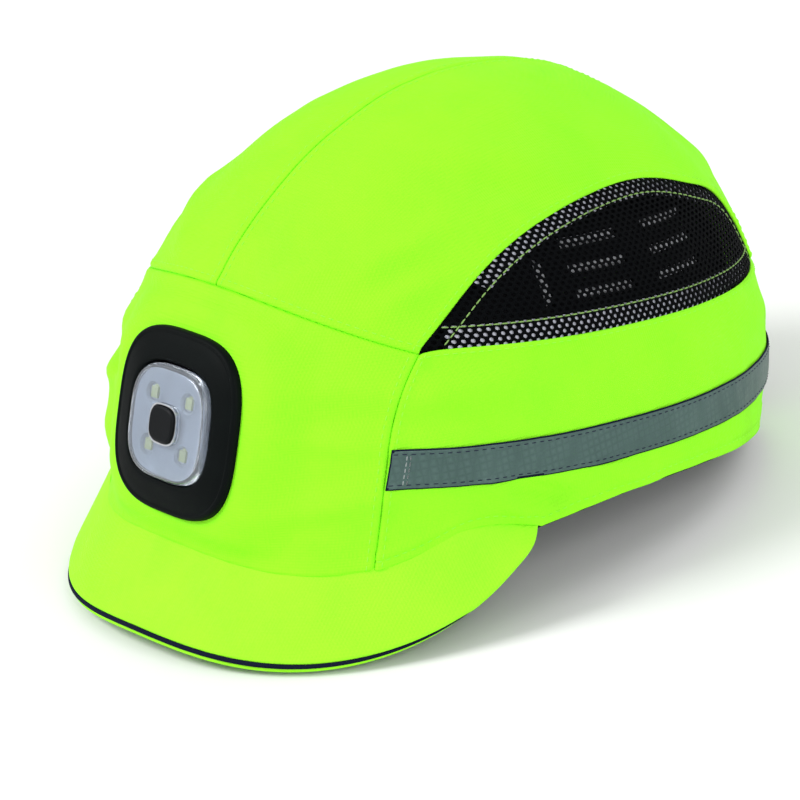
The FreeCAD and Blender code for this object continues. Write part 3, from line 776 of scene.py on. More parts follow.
def lamp_axes():
    lean = math.radians(LAMP_LEAN)
    up = np.array((0.0, math.sin(lean), math.cos(lean)))
    out = np.array((0.0, -math.cos(lean), math.sin(lean)))
    return np.stack([np.array((1.0, 0.0, 0.0)), up, out])


def lamp_local(points):
    return (np.asarray(points) - LAMP_CENTRE) @ lamp_axes().T


def from_lamp(points):
    return LAMP_CENTRE + np.asarray(points) @ lamp_axes()


def front_band(brim):
    left, right = side_curves(1, brim), side_curves(-1, brim)
    high = join(right["band"][::-1], left["band"])
    seam = brim.inner[np.abs(brim.inner[:, 0]) < SIDE_SEAM_X]
    low = meet(from_front(seam[:, 0], seam[:, 2], 1), right["side_seam"][0],
               left["side_seam"][0])
    panel = Panel(low, high, right["side_seam"], left["side_seam"],
                  {"low": "seam", "high": "seam", "left": "seam", "right": "seam"})
    panel.points = drawn_to_lamp(panel)
    panel.build("front_band_cloth", "front_band", in_lamp_hole)
    return panel


def crown_panel(side, name, brim):
    c = side_curves(side, brim)
    arch = meet(c["mesh_arch"], c["side_seam"][-1], c["rear_line"][0])
    centre = line_between(c["band"][0], c["rear_line"][-1], 600)
    panel = Panel(arch, centre, c["band"][::-1], c["rear_line"],
                  {"low": "seam", "high": "seam", "left": "seam", "right": "seam"})
    panel.build("crown_cloth_" + name, "crown_panel_" + name)
    return panel


def side_panel(side, name, brim):
    c = side_curves(side, brim)
    base = meet(c["mesh_base"], c["side_seam"][-1], c["rear_line"][0])
    top = join(base, c["rear_line"])
    # the rear edge runs up the arch and then along the centre line to the crown
    rear = join(c["arch"], line_between(c["arch"][-1], c["rear_line"][-1], 60))
    hem = meet(c["hem"], c["side_seam"][0], rear[0])
    panel = Panel(hem, top, c["side_seam"], rear,
                  {"low": "hem", "high": "seam", "left": "seam", "right": "open"})
    panel.build("side_cloth_" + name, "side_panel_" + name)
    return panel


# ======================= vents =======================

HOLE_PITCH, HOLE_ROW, HOLE_HALF = 2.9, 1.7, (0.84, 0.64)
VENT_LIFT, ARCH_MARGIN, BASE_MARGIN = -0.7, 4.1, 6.0


def vent_lift(points):
    return VENT_LIFT + 0.4 * folds(points) + 0.35 * wobble(points, 18.0, 6)


def vent_mesh(side, name):
    """Open knit mesh: staggered cells, each with a real hole, on the vent's lens shape."""
    heights = np.linspace(MESH_BASE_Z - 3.0, 80.0, 400)
    run = measured(from_side(np.full(400, 5.0), heights, 1))
    sides = 12
    turn = full_turn(sides)
    corner = rounded_cell()
    hole = np.stack([HOLE_HALF[0] * np.cos(turn), HOLE_HALF[1] * np.sin(turn)], -1)
    points, faces, count = [], [], 0
    for j in range(int(run[-1] / HOLE_ROW) + 1):
        for i in range(int((MESH_REAR_Y - MESH_FRONT_Y) / HOLE_PITCH) + 3):
            centre = np.array((MESH_FRONT_Y - 3.0 + (i + 0.5 * (j % 2)) * HOLE_PITCH,
                               j * HOLE_ROW))
            z = np.interp(centre[1], run, heights)
            inside_y = np.clip(centre[0], MESH_FRONT_Y, MESH_REAR_Y)
            if z > float(vent_height(inside_y)) + 1.6 or abs(centre[0] - inside_y) > 1.2:
                continue
            points.append(np.concatenate([centre + corner, centre + hole]))
            faces.extend((grid_faces(2, sides, closed=True) + count).tolist())
            count += 2 * sides
    flat = np.concatenate(points)
    z = np.interp(flat[:, 1], run, heights)
    uv = from_side(flat[:, 0], z, side)
    below_arch = vent_height(np.clip(flat[:, 0], MESH_FRONT_Y, MESH_REAR_Y)) - z
    edge = np.minimum(z - MESH_BASE_Z, below_arch)
    lift = vent_lift(crown(uv)) - (1.0 - smooth(-1.5, 1.0, edge))
    piece = make_mesh("vent_mesh_" + name, crown(uv, lift), faces, "mesh", "cover")
    weld(piece, 0.05)
    thicken(piece, 0.4, 0.0)
    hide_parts("mesh_panel_" + name)


def vent_lines(inset, base_inset):
    """Side-view lines inside the vent: one under the arch, one over the base, (y, z) each."""
    y = np.linspace(MESH_FRONT_Y, MESH_REAR_Y, 500)
    arch = vent_height(y)
    slope = np.gradient(arch, y)
    steep = np.sqrt(1.0 + slope ** 2)
    upper = np.stack([y + inset * slope / steep, arch - inset / steep], -1)
    upper = upper[upper[:, 1] > MESH_BASE_Z + 0.4]
    if inset > 0.0:
        upper = upper[upper[:, 1] < np.interp(upper[:, 0], y, arch)]
    low_y = y[arch > MESH_BASE_Z + base_inset + 0.6]
    lower = np.stack([low_y, np.full(low_y.shape, MESH_BASE_Z + base_inset)], -1)
    return upper, lower


def vent_trim(side, name):
    """Pale seam tape behind the vent's margins, and the rows of knots that hold it."""
    lines = []
    for line in vent_lines(ARCH_MARGIN, BASE_MARGIN):
        uv = from_side(line[:, 0], line[:, 1], side)
        lines.append(crown(uv, vent_lift(crown(uv)) + 0.3))
    stitch_mesh("vent_stitches_" + name, lines, "mesh_thread",
                thread=0.24, pitch=2.9, length=2.5)
    edges = vent_lines(-2.0, 0.0)[0], vent_lines(ARCH_MARGIN + 0.5, 0.0)[0]
    outer, inner = (at_even(line, 240) for line in edges)
    rows = np.linspace(0.0, 1.0, 7)[:, None, None]
    low = at_even(vent_lines(ARCH_MARGIN, BASE_MARGIN + 0.5)[1], 240)
    base = np.stack([low[:, 0], np.full(240, MESH_BASE_Z - 2.0)], -1)
    # the arch's tape starts a little behind the front corner
    strips = [(outer[None] + rows * (inner - outer)[None])[:, 34:],
              base[None] + rows * (low - base)[None]]
    points, faces, count = [], [], 0
    for grid in strips:
        uv = from_side(grid[..., 0], grid[..., 1], side)
        points.append(crown(uv, vent_lift(crown(uv)) - 0.9).reshape(-1, 3))
        faces.extend((grid_faces(*grid.shape[:2]) + count).tolist())
        count += grid.shape[0] * grid.shape[1]
    vent_slot_foam(side, name)
    backing = make_mesh("vent_backing_" + name, np.concatenate(points), faces,
                        "backing", "cover")
    thicken(backing, 0.3, 0.0)


SLOT_PLACES = [(y, z, 27.0, 2.0) for y in (3.0, 42.0) for z in (43.0, 50.5, 58.0)]
SLOT_PLACES.append((-22.0, 48.0, 3.0, 13.5))
SLOT_LIFT = (-10.6, -8.6)


def vent_slot_foam(side, name):
    """The pad's foam where it swells into the shell's slots, as closed pillows."""
    points, faces, count = [], [], 0
    size = 15
    share = np.linspace(-0.49, 0.49, size)
    for y, z, length, height in SLOT_PLACES:
        grid_y, grid_z = np.meshgrid(y + share * length, z + share * height)
        uv = from_side(grid_y * 1.09, grid_z * CROWN_HEIGHT / (CROWN_HEIGHT - 9.0), side)
        edge = np.minimum(0.49 - np.abs(share)[None, :], 0.49 - np.abs(share)[:, None])
        swell = smooth(0.0, 0.12, edge)
        lift = SLOT_LIFT[0] + (SLOT_LIFT[1] - SLOT_LIFT[0]) * swell
        lift = lift + 0.1 * wobble(crown(uv), 2.5, 14)
        points.append(crown(uv, lift).reshape(-1, 3))
        faces.extend((grid_faces(size, size) + count).tolist())
        count += size * size
    make_mesh("slot_foam_" + name, np.concatenate(points), faces, "foam", "cover")


def rounded_cell():
    """Outline of one cell of the staggered pattern: the hexagon round a lattice point."""
    half, row = 0.5 * HOLE_PITCH, HOLE_ROW
    top = (row ** 2 + half ** 2) / (2.0 * row)
    side = (row ** 2 - half ** 2) / (2.0 * row)
    corners = np.array([(half, side), (0.0, top), (-half, side), (-half, -side), (0.0, -top),
                        (half, -side)])
    points = []
    for a, b in zip(corners, np.roll(corners, -1, axis=0)):
        points.extend([a, 0.5 * (a + b)])
    start = np.array(points)
    angle = np.mod(np.arctan2(start[:, 1], start[:, 0]), 2.0 * math.pi)
    return start[np.argsort(angle)]


# ======================= slabs: pads, tape, straps and bindings =======================

def slab(name, place, low, high, radius, material, body, node, slot, surface=0.0, edge=None,
         cloth=False):
    """Closed slab between two lifts of a gridded surface, with a rounded rim."""
    middle, half = 0.5 * (low + high), 0.5 * (high - low)
    flat = place(middle)
    distance = np.min(list(edge_distances(flat).values()), axis=0)
    share = np.clip(distance / radius, 0.0, 1.0)
    swell = half * np.sqrt(np.maximum(1.0 - (1.0 - share) ** 2, 0.0))
    outer = place(middle + swell + surface * smooth(0.0, radius, distance))
    inner = place(middle - swell)
    rows, columns = flat.shape[:2]
    faces = grid_faces(rows, columns)
    points = np.concatenate([outer.reshape(-1, 3), inner.reshape(-1, 3)])
    both = np.concatenate([faces, faces[:, ::-1] + rows * columns])
    piece = make_mesh(name, points, both, material, body)
    if edge is not None:
        width, trim = edge
        piece.data.materials.append(MATERIAL[trim])
        near = distance.reshape(-1)[faces].mean(1) < width
        index = np.concatenate([near, near]).astype(int)
        piece.data.polygons.foreach_set("material_index", index.tolist())
    weld(piece, 0.02)
    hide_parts(node)
    return piece


def tape_corner(x, offset, ahead):
    """Where a tape edge meets an upright line at x: its y and z."""
    z = TAPE_MIDDLE_Z + offset
    for _ in range(5):
        y = float(crown(from_front(x, z, ahead))[1])
        z = float(tape_middle(y)) + offset
    return y, z


def tape_grid(side):
    half = TAPE_WIDTH / 2.0
    curves = []
    ends = {}
    for offset in (-half, half):
        y0, z0 = tape_corner(TAPE_FRONT_X + (0.4 if offset > 0 else 0.0), offset, 1)
        y1, z1 = tape_corner(TAPE_REAR_X, offset, -1)
        y = np.linspace(y0, y1, 500)
        curves.append(from_side(y, tape_middle(y) + offset, side))
        ends[offset] = (z0, z1)
    front = from_front(side * np.linspace(TAPE_FRONT_X, TAPE_FRONT_X + 0.4, 60),
                       np.linspace(ends[-half][0], ends[half][0], 60), 1)
    rear = from_front(np.full(60, side * TAPE_REAR_X),
                      np.linspace(ends[-half][1], ends[half][1], 60), -1)
    rows = shares_for(TAPE_WIDTH, 1.3)
    columns = shares_for(measured(curves[0])[-1], 1.6)
    return coons(curves[0], curves[1], meet(front, curves[0][0], curves[1][0]),
                 meet(rear, curves[0][-1], curves[1][-1]), rows, columns)


def tape_strip(side, name):
    uv = tape_grid(side)
    base = cloth_lift(crown(uv))
    near = edge_distances(crown(uv))
    base = base + 0.45 * np.exp(-(near["left"] / 4.0) ** 2)
    edge_wave = 0.16 * wobble(crown(uv), 5.0, 8)

    def place(lift):
        return crown(uv, base + lift + edge_wave)
    slab("tape_strip_" + name, place, *TAPE_LIFT, 0.45, "tape", "cover",
         "reflective_tape_" + name, "reflective", edge=(TAPE_EDGE, "navy"), cloth=True)
    top = place(TAPE_LIFT[1])
    rows, columns = top.shape[:2]
    lines = [top[np.abs(near[edge][:, columns // 2] - 1.7).argmin()] for edge in ("low", "high")]
    bars = [top[2:-2, np.abs(near["left"][rows // 2] - gap).argmin()] for gap in (5.6, 6.3, 7.0)]
    stitch_mesh("tape_stitches_" + name, lines, "navy_thread",
                thread=0.16)
    stitch_mesh("tape_bar_" + name, bars, "pale_thread",
                thread=0.2, pitch=2.0, length=1.9)


# ======================= lining: sweatband, pads =======================

BAND_LIFT, BAND_HEIGHT, FOOT_HEIGHT = (-13.5, -11.0), 32.0, 2.5


def ring_uv(azimuths, heights, lift):
    """Grid round the head at heights above the hem, for a layer at a lift."""
    level = np.full(azimuths.shape, -0.2)
    for _ in range(12):
        points = crown(stereographic(level, azimuths), lift)
        level = hem_height(points[:, 1]) / (CROWN_HEIGHT + lift)
    grid = level[None] + heights[:, None] / (CROWN_HEIGHT + lift)
    return stereographic(grid, np.broadcast_to(azimuths[None], grid.shape))


def band_azimuths(half_gap, lift, step):
    """Azimuths from the rear gap on the right, round the front, to the gap on the left."""
    turn = np.linspace(0.5 * math.pi, -1.5 * math.pi, 1441)
    ring = crown(stereographic(np.full(turn.shape, -0.15), turn), lift)
    keep = (ring[:, 1] < 0.0) | (np.abs(ring[:, 0]) > half_gap)
    run = running(ring[keep])
    return np.interp(shares_for(run[-1], step) * run[-1], run, turn[keep])


def sweatband():
    lift = sum(BAND_LIFT) / 2.0
    azimuths = band_azimuths(ARCH_HALF_WIDTH + 8.0, lift, 2.6)
    heights = shares_for(BAND_HEIGHT, 2.2) * BAND_HEIGHT
    uv = ring_uv(azimuths, heights, lift)
    nominal = crown(uv, lift)
    quilt = 0.35 * wobble(nominal, 7.0, 4) + 0.25 * wobble(nominal, 20.0, 5)
    band = slab("sweatband_knit", lambda extra: crown(uv, extra + quilt), *BAND_LIFT, 1.2,
                "liner", "cover", "sweatband", "liner")
    foot_uv = ring_uv(azimuths, shares_for(FOOT_HEIGHT, 0.8, False) * FOOT_HEIGHT, lift)
    slab("sweatband_foot", lambda extra: crown(foot_uv, extra), -13.0, -1.2, 0.9,
         "liner", "cover", "sweatband", "liner")
    index = np.abs(heights - 4.2).argmin(), np.abs(heights - 28.0).argmin()
    inner = crown(uv, BAND_LIFT[0] + quilt)
    stitch_mesh("sweatband_stitches", [inner[k] for k in index], "grey_thread")


PADS = {
    "foam_pad_front": ((-33.0, 33.0), (15.5, 72.0), "front"),
    "foam_pad_rear": ((-33.0, 33.0), (32.0, 70.0), "rear"),
    "foam_pad_left": ((-39.0, 55.0), (21.5, 63.0), "left"),
    "foam_pad_right": ((-39.0, 55.0), (21.5, 63.0), "right"),
    "foam_pad_top": ((-29.0, 29.0), (-40.0, 50.0), "top"),
}
PAD_LIFT = (-16.0, -10.7)


def pad_uv(across, up, where):
    """Grid of a pad, from its limits in the view that it is cut in."""
    a = across[0] + shares_for(across[1] - across[0], 3.0) * (across[1] - across[0])
    b = up[0] + shares_for(up[1] - up[0], 3.0) * (up[1] - up[0])
    grid_a, grid_b = np.meshgrid(a, b)
    scale = CROWN_HEIGHT / (CROWN_HEIGHT - 13.0)
    if where in ("front", "rear"):
        return from_front(grid_a * 1.12, grid_b * scale, 1 if where == "front" else -1)
    if where in ("left", "right"):
        return from_side(grid_a * 1.1, grid_b * scale, 1 if where == "left" else -1)
    return top_uv(grid_a * 1.12, grid_b * 1.1)


def top_uv(x, y):
    """Crown coordinates of points seen from above, by a few corrections of a flat guess."""
    uv = np.stack([x / HALF_WIDTH, y / FRONT_LENGTH], -1)
    for _ in range(30):
        miss = np.stack([x, y], -1) - crown(uv)[..., :2]
        uv = uv + 0.8 * miss / (HALF_WIDTH, FRONT_LENGTH)
    return uv


def foam_pads():
    for node, (across, up, where) in PADS.items():
        uv = pad_uv(across, up, where)
        texture = 0.25 * wobble(crown(uv), 5.0, 9)
        pad = slab(node + "_foam", lambda extra: crown(uv, extra), *PAD_LIFT, 3.0,
                   "foam", "cover", node, "foam", surface=texture)


# ======================= rear opening: binding and strap =======================

BINDING_ROWS = (0.0, 0.35, 0.9, 1.8, 3.0, 4.2, 5.1, 5.65, ARCH_BINDING)


def arch_binding():
    shares = np.linspace(0.0, 1.0, 150)
    arches = [join(arch_curve(1, grow), arch_curve(-1, grow)[::-1]) for grow in BINDING_ROWS]
    uv = np.stack([at_shares(arch, shares) for arch in arches])
    ripple = 0.2 * wobble(crown(uv), 5.0, 11)
    slab("arch_binding_cloth", lambda extra: crown(uv, extra + ripple), -1.7, 0.6, 0.8,
         "lime", "cover", "arch_binding", "lime_trim")
    lines = [crown(uv[k], 0.65 + ripple[k]) for k in (2, 6)]
    stitch_mesh("arch_stitches", lines, "lime_thread")


STRAP_RADIUS, STRAP_LOW_Z, STRAP_WIDTH, STRAP_PLY = 84.0, -16.0, 20.0, 1.2
PATCH_PLY, PATCH_MARGIN, HOOK_GAP, SEWN_END = 0.8, 1.5, 0.3, 3.4


def strap_ply(name, radius, ply, angles, z_range, material, body, node, slot, round_end=False):
    """Woven ply round the back of the head, by angles from straight back; gives its outer face."""
    length = math.radians(angles[1] - angles[0]) * radius
    turn = np.radians(angles[0] + shares_for(length, 1.4) * (angles[1] - angles[0]))
    across = shares_for(z_range[1] - z_range[0], 1.4)
    z = z_range[0] + across * (z_range[1] - z_range[0])
    turn, z = np.meshgrid(turn, z)
    if round_end:
        # the free end of the strap is cut to a soft curve
        middle = 0.5 * (z_range[0] + z_range[1])
        off = np.abs(z - middle) / (0.5 * (z_range[1] - z_range[0]))
        share = (turn - turn.min()) / (turn.max() - turn.min())
        turn = turn + (0.5 * off ** 4 * 9.0 / radius) * (1.0 - share) ** 8

    def place(lift):
        reach = radius - 0.5 * ply + lift
        return np.stack([reach * np.sin(turn), STRAP_PIVOT[0] + reach * np.cos(turn), z], -1)
    slab(name, place, -0.5 * ply, 0.5 * ply, 0.55, material, body, node, slot, cloth=True)
    return place(0.5 * ply)


def straps():
    low, high = STRAP_LOW_Z, STRAP_LOW_Z + STRAP_WIDTH
    patch = (low + PATCH_MARGIN, high - PATCH_MARGIN)
    hook = STRAP_RADIUS - STRAP_PLY - 0.05
    loop = hook - PATCH_PLY - HOOK_GAP
    under = loop - PATCH_PLY - 0.05
    face = strap_ply("strap_left_webbing", STRAP_RADIUS, STRAP_PLY, (-24.0, 44.0), (low, high),
                     "webbing", "strap", "strap_left", "webbing", True)
    strap_ply("strap_hook_tape", hook, PATCH_PLY, (-21.5, 6.0), patch,
              "hook", "strap", "strap_hook_patch", "hook_and_loop")
    strap_ply("strap_loop_tape", loop, PATCH_PLY, (-37.0, 20.0), patch,
              "nap", "cover", "strap_loop_patch", "hook_and_loop")
    strap_ply("strap_right_webbing", under, STRAP_PLY, (-40.0, 22.0), (low, high),
              "webbing", "cover", "strap_right", "webbing")
    strap_ply("strap_right_end", under + SEWN_END, SEWN_END, (-40.0, -37.5), (low, high),
              "webbing", "cover", "strap_right", "webbing")
    stitch_mesh("strap_stitches", [face[7], face[-8]], "grey_thread", "strap")


# ======================= brim =======================

BRIM_SEAM_END = np.array((90.0, -42.5, -23.8))
BRIM_MAIN_X, BRIM_SIDE_X = 80.0, 94.2
LIP_TAPER_X, LIP_INSET, PIPING_RADIUS = (90.0, 74.0), 2.3, 0.85
COVER_ROLL, LOWER_ROLL, BRIM_THICK = 0.85, 0.9, 3.6


def brim_axes():
    slope = math.radians(BRIM_SLOPE)
    along = np.array((0.0, -math.cos(slope), -math.sin(slope)))
    normal = np.array((0.0, -math.sin(slope), math.cos(slope)))
    return along, normal


def brim_point(x, v):
    """Point of the brim's upper face, by sideways distance and reach down the slope."""
    along, normal = brim_axes()
    x, v = np.broadcast_arrays(np.asarray(x, float), np.asarray(v, float))
    drop = BRIM_RADIUS - np.sqrt(BRIM_RADIUS ** 2 - x ** 2)
    return BRIM_ROOT + x[..., None] * HEAD_LEFT + v[..., None] * along - drop[..., None] * normal


def brim_normal(x):
    normal = brim_axes()[1]
    share = np.clip(np.asarray(x, float) / BRIM_RADIUS, -1.0, 1.0)
    return share[..., None] * HEAD_LEFT + np.sqrt(1.0 - share ** 2)[..., None] * normal


def brim_outline(x):
    edge = np.maximum(1.0 - (np.abs(x) / BRIM_HALF_WIDTH) ** BRIM_POWER[0], 0.0)
    return np.maximum(BRIM_END + (BRIM_REACH - BRIM_END) * edge ** (1.0 / BRIM_POWER[1]), BRIM_CUT)


def inside_crown(points):
    """Below 1 inside the crown's cloth, above 1 outside it."""
    level = points[..., 2] / CROWN_HEIGHT
    azimuth = np.arctan2(points[..., 1], points[..., 0])
    flare = flare_at(azimuth)
    y = points[..., 1] - TOP_SHIFT * np.maximum(level, 0.0) ** 2
    length = np.where(y > 0.0, REAR_LENGTH, FRONT_LENGTH)
    exponent = np.where(y > 0.0, REAR_EXPONENT, FRONT_EXPONENT)
    across = np.abs(points[..., 0]) / (HALF_WIDTH * profile(level, SIDE_EXPONENT, flare))
    along = np.abs(y) / (length * profile(level, exponent, flare))
    return across ** PLAN_EXPONENT + along ** PLAN_EXPONENT


def brim_root(x):
    """Reach at which the brim's upper face enters the crown."""
    low, high = np.full(x.shape, -60.0), brim_outline(x)
    for _ in range(30):
        middle = 0.5 * (low + high)
        within = inside_crown(brim_point(x, middle)) < 1.0
        low, high = np.where(within, middle, low), np.where(within, high, middle)
    return high


def polyline(points, count):
    """Smooth curve through 3-D points, evenly spaced."""
    points = np.array(points, float)
    run = running(points)
    parts = [spline(list(zip(run, points[:, k]))) for k in range(3)]
    fine = np.linspace(0.0, run[-1], 400)
    curve = np.stack([part(fine) for part in parts], -1)
    return at_even(curve, count)


class Brim:
    """Curves of the brim from the right end to the left end: seam, outline, and directions."""

    def __init__(self):
        main = np.linspace(0.0, BRIM_MAIN_X, 70)
        side = np.linspace(BRIM_MAIN_X, BRIM_SIDE_X, 9)
        tip = brim_point(95.0, -45.7)
        outer_end = polyline([*brim_point(side, brim_outline(side)), tip, BRIM_SEAM_END], 46)
        root_main = brim_point(main, brim_root(main))
        inner_end = polyline([*root_main[-8:], BRIM_SEAM_END], 200)
        start = np.linalg.norm(inner_end - root_main[-1], axis=1).argmin()
        inner_end = at_even(inner_end[start:], 46)
        outer = np.concatenate([brim_point(main, brim_outline(main)), outer_end[1:]])
        inner = np.concatenate([root_main, inner_end[1:]])
        flip = np.array((-1.0, 1.0, 1.0))
        self.outer = np.concatenate([outer[:0:-1] * flip, outer])
        self.inner = np.concatenate([inner[:0:-1] * flip, inner])
        self.up = brim_normal(np.clip(self.outer[:, 0], -92.0, 92.0))
        tangent = np.gradient(self.outer, axis=0)
        out = np.cross(tangent, self.up)
        out = out / np.linalg.norm(out, axis=1)[:, None]
        self.out = out * np.sign(np.einsum("ij,ij->i", out, self.outer - self.inner))[:, None]
        self.out[0], self.out[-1] = self.out[1], self.out[-2]
        x = self.outer[:, 0]
        reach = np.where(x > 0.0, *LIP_TAPER_X)
        self.taper = np.sqrt(np.clip(1.0 - (np.abs(x) / reach) ** 5, 0.0, 1.0))
        room = np.linalg.norm(self.outer - self.inner, axis=1)
        self.thin = 0.25 + 0.75 * smooth(0.0, 16.0, room)

    def surface(self, inset, height, tuck, count=56):
        """Grid from inside the crown to a line inset from the outline, at a height."""
        edge = self.outer - self.out * (inset * self.thin)[:, None]
        reach = self.outer - self.inner
        size = np.linalg.norm(reach, axis=1)[:, None] + 1e-6
        back = self.inner - reach / size * tuck
        share = np.linspace(0.0, 1.0, count)[:, None, None]
        grid = back[None] + share * (edge - back)[None]
        grid = grid + self.up[None] * (height * self.thin)[None, :, None]
        ripple = 0.35 * wobble(grid, 24.0, 12) + 0.1 * wobble(grid, 7.0, 13)
        return grid + self.up[None] * (ripple * smooth(0.0, 0.1, share[..., 0]))[..., None]

    def rolled(self, grid, radius, turns, sign):
        """The rim after a grid's last row: a curl of a radius through angles, then a tuck."""
        last = grid[-1]
        rows = []
        for angle in turns:
            e = radius * math.sin(angle)
            h = sign * radius * (1.0 - math.cos(angle))
            rows.append(last + self.out * (e * self.thin)[:, None]
                        + self.up * (h * self.thin)[:, None])
        return np.concatenate([grid, np.array(rows)])

    def cover(self, name, rows, node):
        # the brim's cloth is the lime painted lighter: painted light on the brim
        piece = make_mesh(name, rows.reshape(-1, 3), grid_faces(*rows.shape[:2]), "lime_brim_painted_light",
                          "cover")
        thicken(piece, 0.35, 0.0)
        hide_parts(node)
        return piece


def brim_covers(brim):
    ones = np.ones(len(brim.outer))
    inset = LIP_INSET * brim.taper + COVER_ROLL
    curl = np.radians((20, 40, 60, 80, 100, 120, 145, 170, 190))
    top = brim.surface(inset, 0.0 * ones, 2.0)
    top = brim.rolled(top, COVER_ROLL, curl, -1.0)
    brim.cover("brim_upper_cloth", top, "brim_upper_cover")
    under = brim.surface(LOWER_ROLL * ones, -BRIM_THICK * ones, 3.5)
    under = brim.rolled(under, LOWER_ROLL, curl, 1.0)
    lower = brim.cover("brim_lower_cloth", under, "brim_lower_cover")
    brim_piping(brim)
    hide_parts("brim_board")


def brim_piping(brim):
    keep = brim.taper > 0.05
    radius = PIPING_RADIUS * brim.taper[keep] ** 0.6
    centre = (brim.outer - brim.out * ((1.45 * brim.taper) * brim.thin)[:, None]
              - brim.up * (1.25 * brim.thin)[:, None])[keep]
    out, up = brim.out[keep], brim.up[keep]
    turn = full_turn(14)
    ring = centre[:, None] + radius[:, None, None] * (
        np.cos(turn)[None, :, None] * out[:, None] + np.sin(turn)[None, :, None] * up[:, None])
    faces = grid_faces(*ring.shape[:2], closed=True)
    piece = make_mesh("brim_piping_cord", ring.reshape(-1, 3), faces, "navy", "cover")
    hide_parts("brim_piping")


# ======================= lamp =======================

# half width and height over the cloth, from the seat round the rim to the module's socket
BEZEL_SECTIONS = ((27.6, -7.5), (28.6, -3.6), (28.9, -0.6), (29.0, 1.4), (28.95, 2.4), (28.7, 3.1),
                  (28.3, 3.6), (27.8, 3.85), (27.5, 3.8), (27.2, 3.6), (26.9, 3.7), (26.0, 4.1),
                  (24.4, 4.6), (22.4, 5.1), (21.2, 5.4), (20.4, 5.5), (19.7, 5.3), (19.3, 4.8),
                  (19.15, 3.0), (19.1, -5.5))
BEZEL_TALL = 1.04
CHIP_PLACE, CHIP_HALF = 8.6, (1.75, 2.6, 0.75)
CHIP_BASE = 4.1


def squircle(half, height, count=120):
    turn = full_turn(count)
    x = half * signed_power(np.cos(turn), 2.0 / CORNER_POWER)
    y = half * signed_power(np.sin(turn), 2.0 / CORNER_POWER)
    return np.stack([x, y, np.full(count, height)], -1)


def bezel():
    rings = np.stack([squircle(half, height) for half, height in BEZEL_SECTIONS])
    stretch = 1.0 + (BEZEL_TALL - 1.0) * smooth(SOCKET_HALF + 1.0, BEZEL_HALF - 2.0,
                                                np.array(BEZEL_SECTIONS)[:, 0])
    rings[..., 1] *= stretch[:, None]
    rings[..., 2] += 0.12 * wobble(rings, 22.0, 15)
    faces = grid_faces(*rings.shape[:2], closed=True)
    piece = make_mesh("bezel_rubber_ring", from_lamp(rings).reshape(-1, 3), faces,
                      "rubber", "cover")
    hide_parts("lamp_bezel")


def led_domes():
    """Four soft phosphor domes over the chips."""
    points, faces, count = [], [], 0
    rows, sides = 7, 20
    lift = np.radians(np.linspace(0.0, 86.0, rows))[:, None]
    turn = full_turn(sides)[None]
    for x in (-CHIP_PLACE, CHIP_PLACE):
        for y in (-CHIP_PLACE, CHIP_PLACE):
            ring = np.stack([CHIP_HALF[0] * np.cos(lift) * np.cos(turn) + x,
                             CHIP_HALF[1] * np.cos(lift) * np.sin(turn) + y,
                             CHIP_BASE + CHIP_HALF[2] * np.sin(lift) * np.ones(sides)], -1)
            points.append(from_lamp(ring).reshape(-1, 3))
            faces.extend((grid_faces(rows, sides, closed=True) + count).tolist())
            faces.append([count + (rows - 1) * sides + k for k in range(sides)])
            count += rows * sides
    make_mesh("led_domes", np.concatenate(points), faces, "led", "lamp")


# ======================= everything =======================

def cover_stitches(panels):
    near, along = 2.6, 2.1
    for name in ("left", "right"):
        crown_part, side_part = panels["crown_" + name], panels["side_" + name]
        rows = [crown_part.row_at("high", near), crown_part.row_at("left", near),
                crown_part.row_at("low", along)]
        stitch_mesh("crown_stitches_" + name, rows, "lime_thread")
        rows = [side_part.row_at("left", near), side_part.row_at("high", along),
                side_part.row_at("low", 2.8)]
        stitch_mesh("side_stitches_" + name, rows, "lime_thread")
    band = panels["band"]
    stitch_mesh("band_stitches", [band.row_at("left", near), band.row_at("right", near)],
                "lime_thread")


# material of each hard node that keeps its own shape
PAINT = (
    ("shell", "bump_shell"),
    ("rubber", "lamp_retaining_ring", "lamp_seal"),
    ("lamp_plastic", "lamp_housing", "lamp_back"),
    ("button", "lamp_button", "switch_plunger"),
    ("lens", "lamp_lens"),
    ("reflector", "lamp_reflector"),
    ("circuit", "circuit_board"),
    ("led", "led_chips"),
    ("chrome", "button_collar"),
    ("steel", "push_switch", "charging_socket", "lamp_screws"),
    ("cell", "battery"),
)


def paint_hard_parts():
    for material, *names in PAINT:
        for name in names:
            node = frame["nodes"][name]
            node.data.materials.clear()
            node.data.materials.append(MATERIAL[material])


def build_all():
    brim = Brim()
    panels = {"band": front_band(brim)}
    for side, name in ((1, "left"), (-1, "right")):
        panels["crown_" + name] = crown_panel(side, name, brim)
        panels["side_" + name] = side_panel(side, name, brim)
        vent_mesh(side, name)
        vent_trim(side, name)
        tape_strip(side, name)
    cover_stitches(panels)
    brim_covers(brim)
    arch_binding()
    sweatband()
    foam_pads()
    straps()
    bezel()
    led_domes()
    paint_hard_parts()


build_all()


# ======================= stage =======================

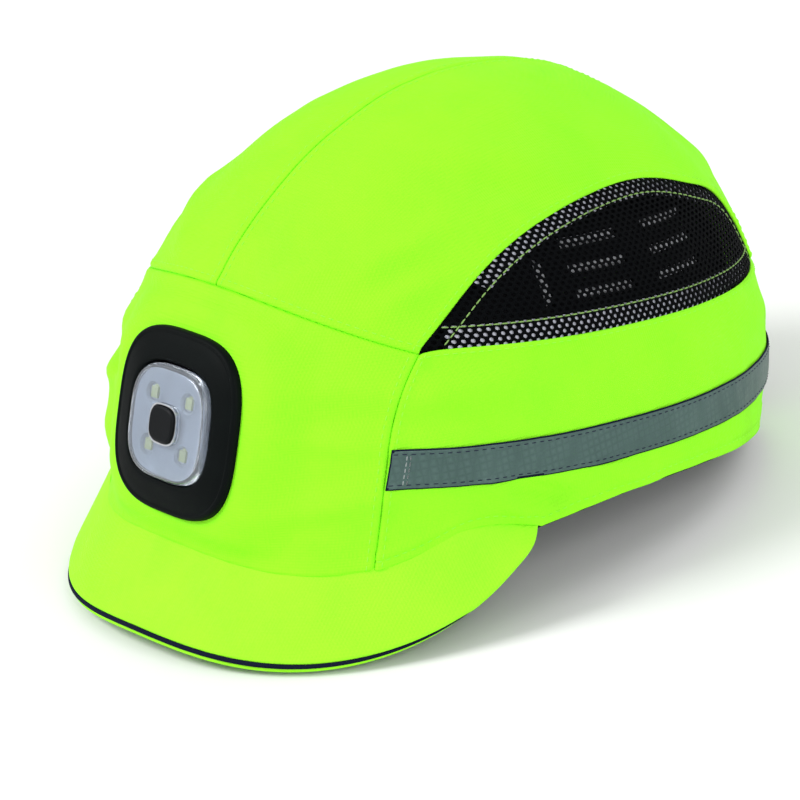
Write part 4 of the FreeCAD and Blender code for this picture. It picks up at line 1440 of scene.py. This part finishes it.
def set_stage():
    floor_data = bpy.data.meshes.new("floor")
    floor_data.from_pydata([(-4, -4, 0), (4, -4, 0), (4, 4, 0), (-4, 4, 0)], [], [(0, 1, 2, 3)])
    floor = bpy.data.objects.new("floor", floor_data)
    bpy.context.scene.collection.objects.link(floor)
    shader = Shader("floor_pale", (0.86, 0.86, 0.86), 0.8)
    floor_data.materials.append(shader.material)
    world = bpy.data.worlds.new("studio")
    world.use_nodes = True
    world.node_tree.nodes["Background"].inputs["Color"].default_value = (1.0, 1.0, 1.0, 1.0)
    world.node_tree.nodes["Background"].inputs["Strength"].default_value = 0.62
    bpy.context.scene.world = world
    for name, place, size, power in (("key", (-0.9, -1.5, 1.7), 1.0, 42.0),
                                     ("fill", (1.9, -0.4, 1.0), 1.4, 18.0),
                                     ("back", (0.3, 1.8, 1.5), 1.2, 12.0)):
        data = bpy.data.lights.new(name, "AREA")
        data.size = size
        data.energy = power
        lamp = bpy.data.objects.new(name, data)
        lamp.location = place
        lamp.rotation_euler = (-Vector(place) + Vector((0, 0, 0.07))).to_track_quat("-Z", "Y").to_euler()
        bpy.context.scene.collection.objects.link(lamp)


CAMERA_AZIMUTH, CAMERA_ELEVATION, CAMERA_ROLL = 50.54, 24.01, -7.12
CAMERA_DISTANCE, CAMERA_LENS = 1.5155, 204.36
CAMERA_AIM = (0.0066, -0.0125, 0.0457)


def set_camera():
    azimuth, elevation = math.radians(CAMERA_AZIMUTH), math.radians(CAMERA_ELEVATION)
    back = Vector((math.sin(azimuth) * math.cos(elevation),
                   -math.cos(azimuth) * math.cos(elevation), math.sin(elevation)))
    right = Vector((math.cos(azimuth), math.sin(azimuth), 0.0))
    right = Matrix.Rotation(math.radians(CAMERA_ROLL), 3, back) @ right
    up = back.cross(right)
    data = bpy.data.cameras.new("camera")
    data.lens = CAMERA_LENS
    data.sensor_width = 36.0
    camera = bpy.data.objects.new("camera", data)
    bpy.context.scene.collection.objects.link(camera)
    turn = Matrix((right, up, back)).transposed().to_4x4()
    camera.matrix_world = Matrix.Translation(Vector(CAMERA_AIM) + back * CAMERA_DISTANCE) @ turn
    bpy.context.scene.camera = camera


set_stage()
set_camera()
bpy.context.scene.view_settings.view_transform = "Standard"
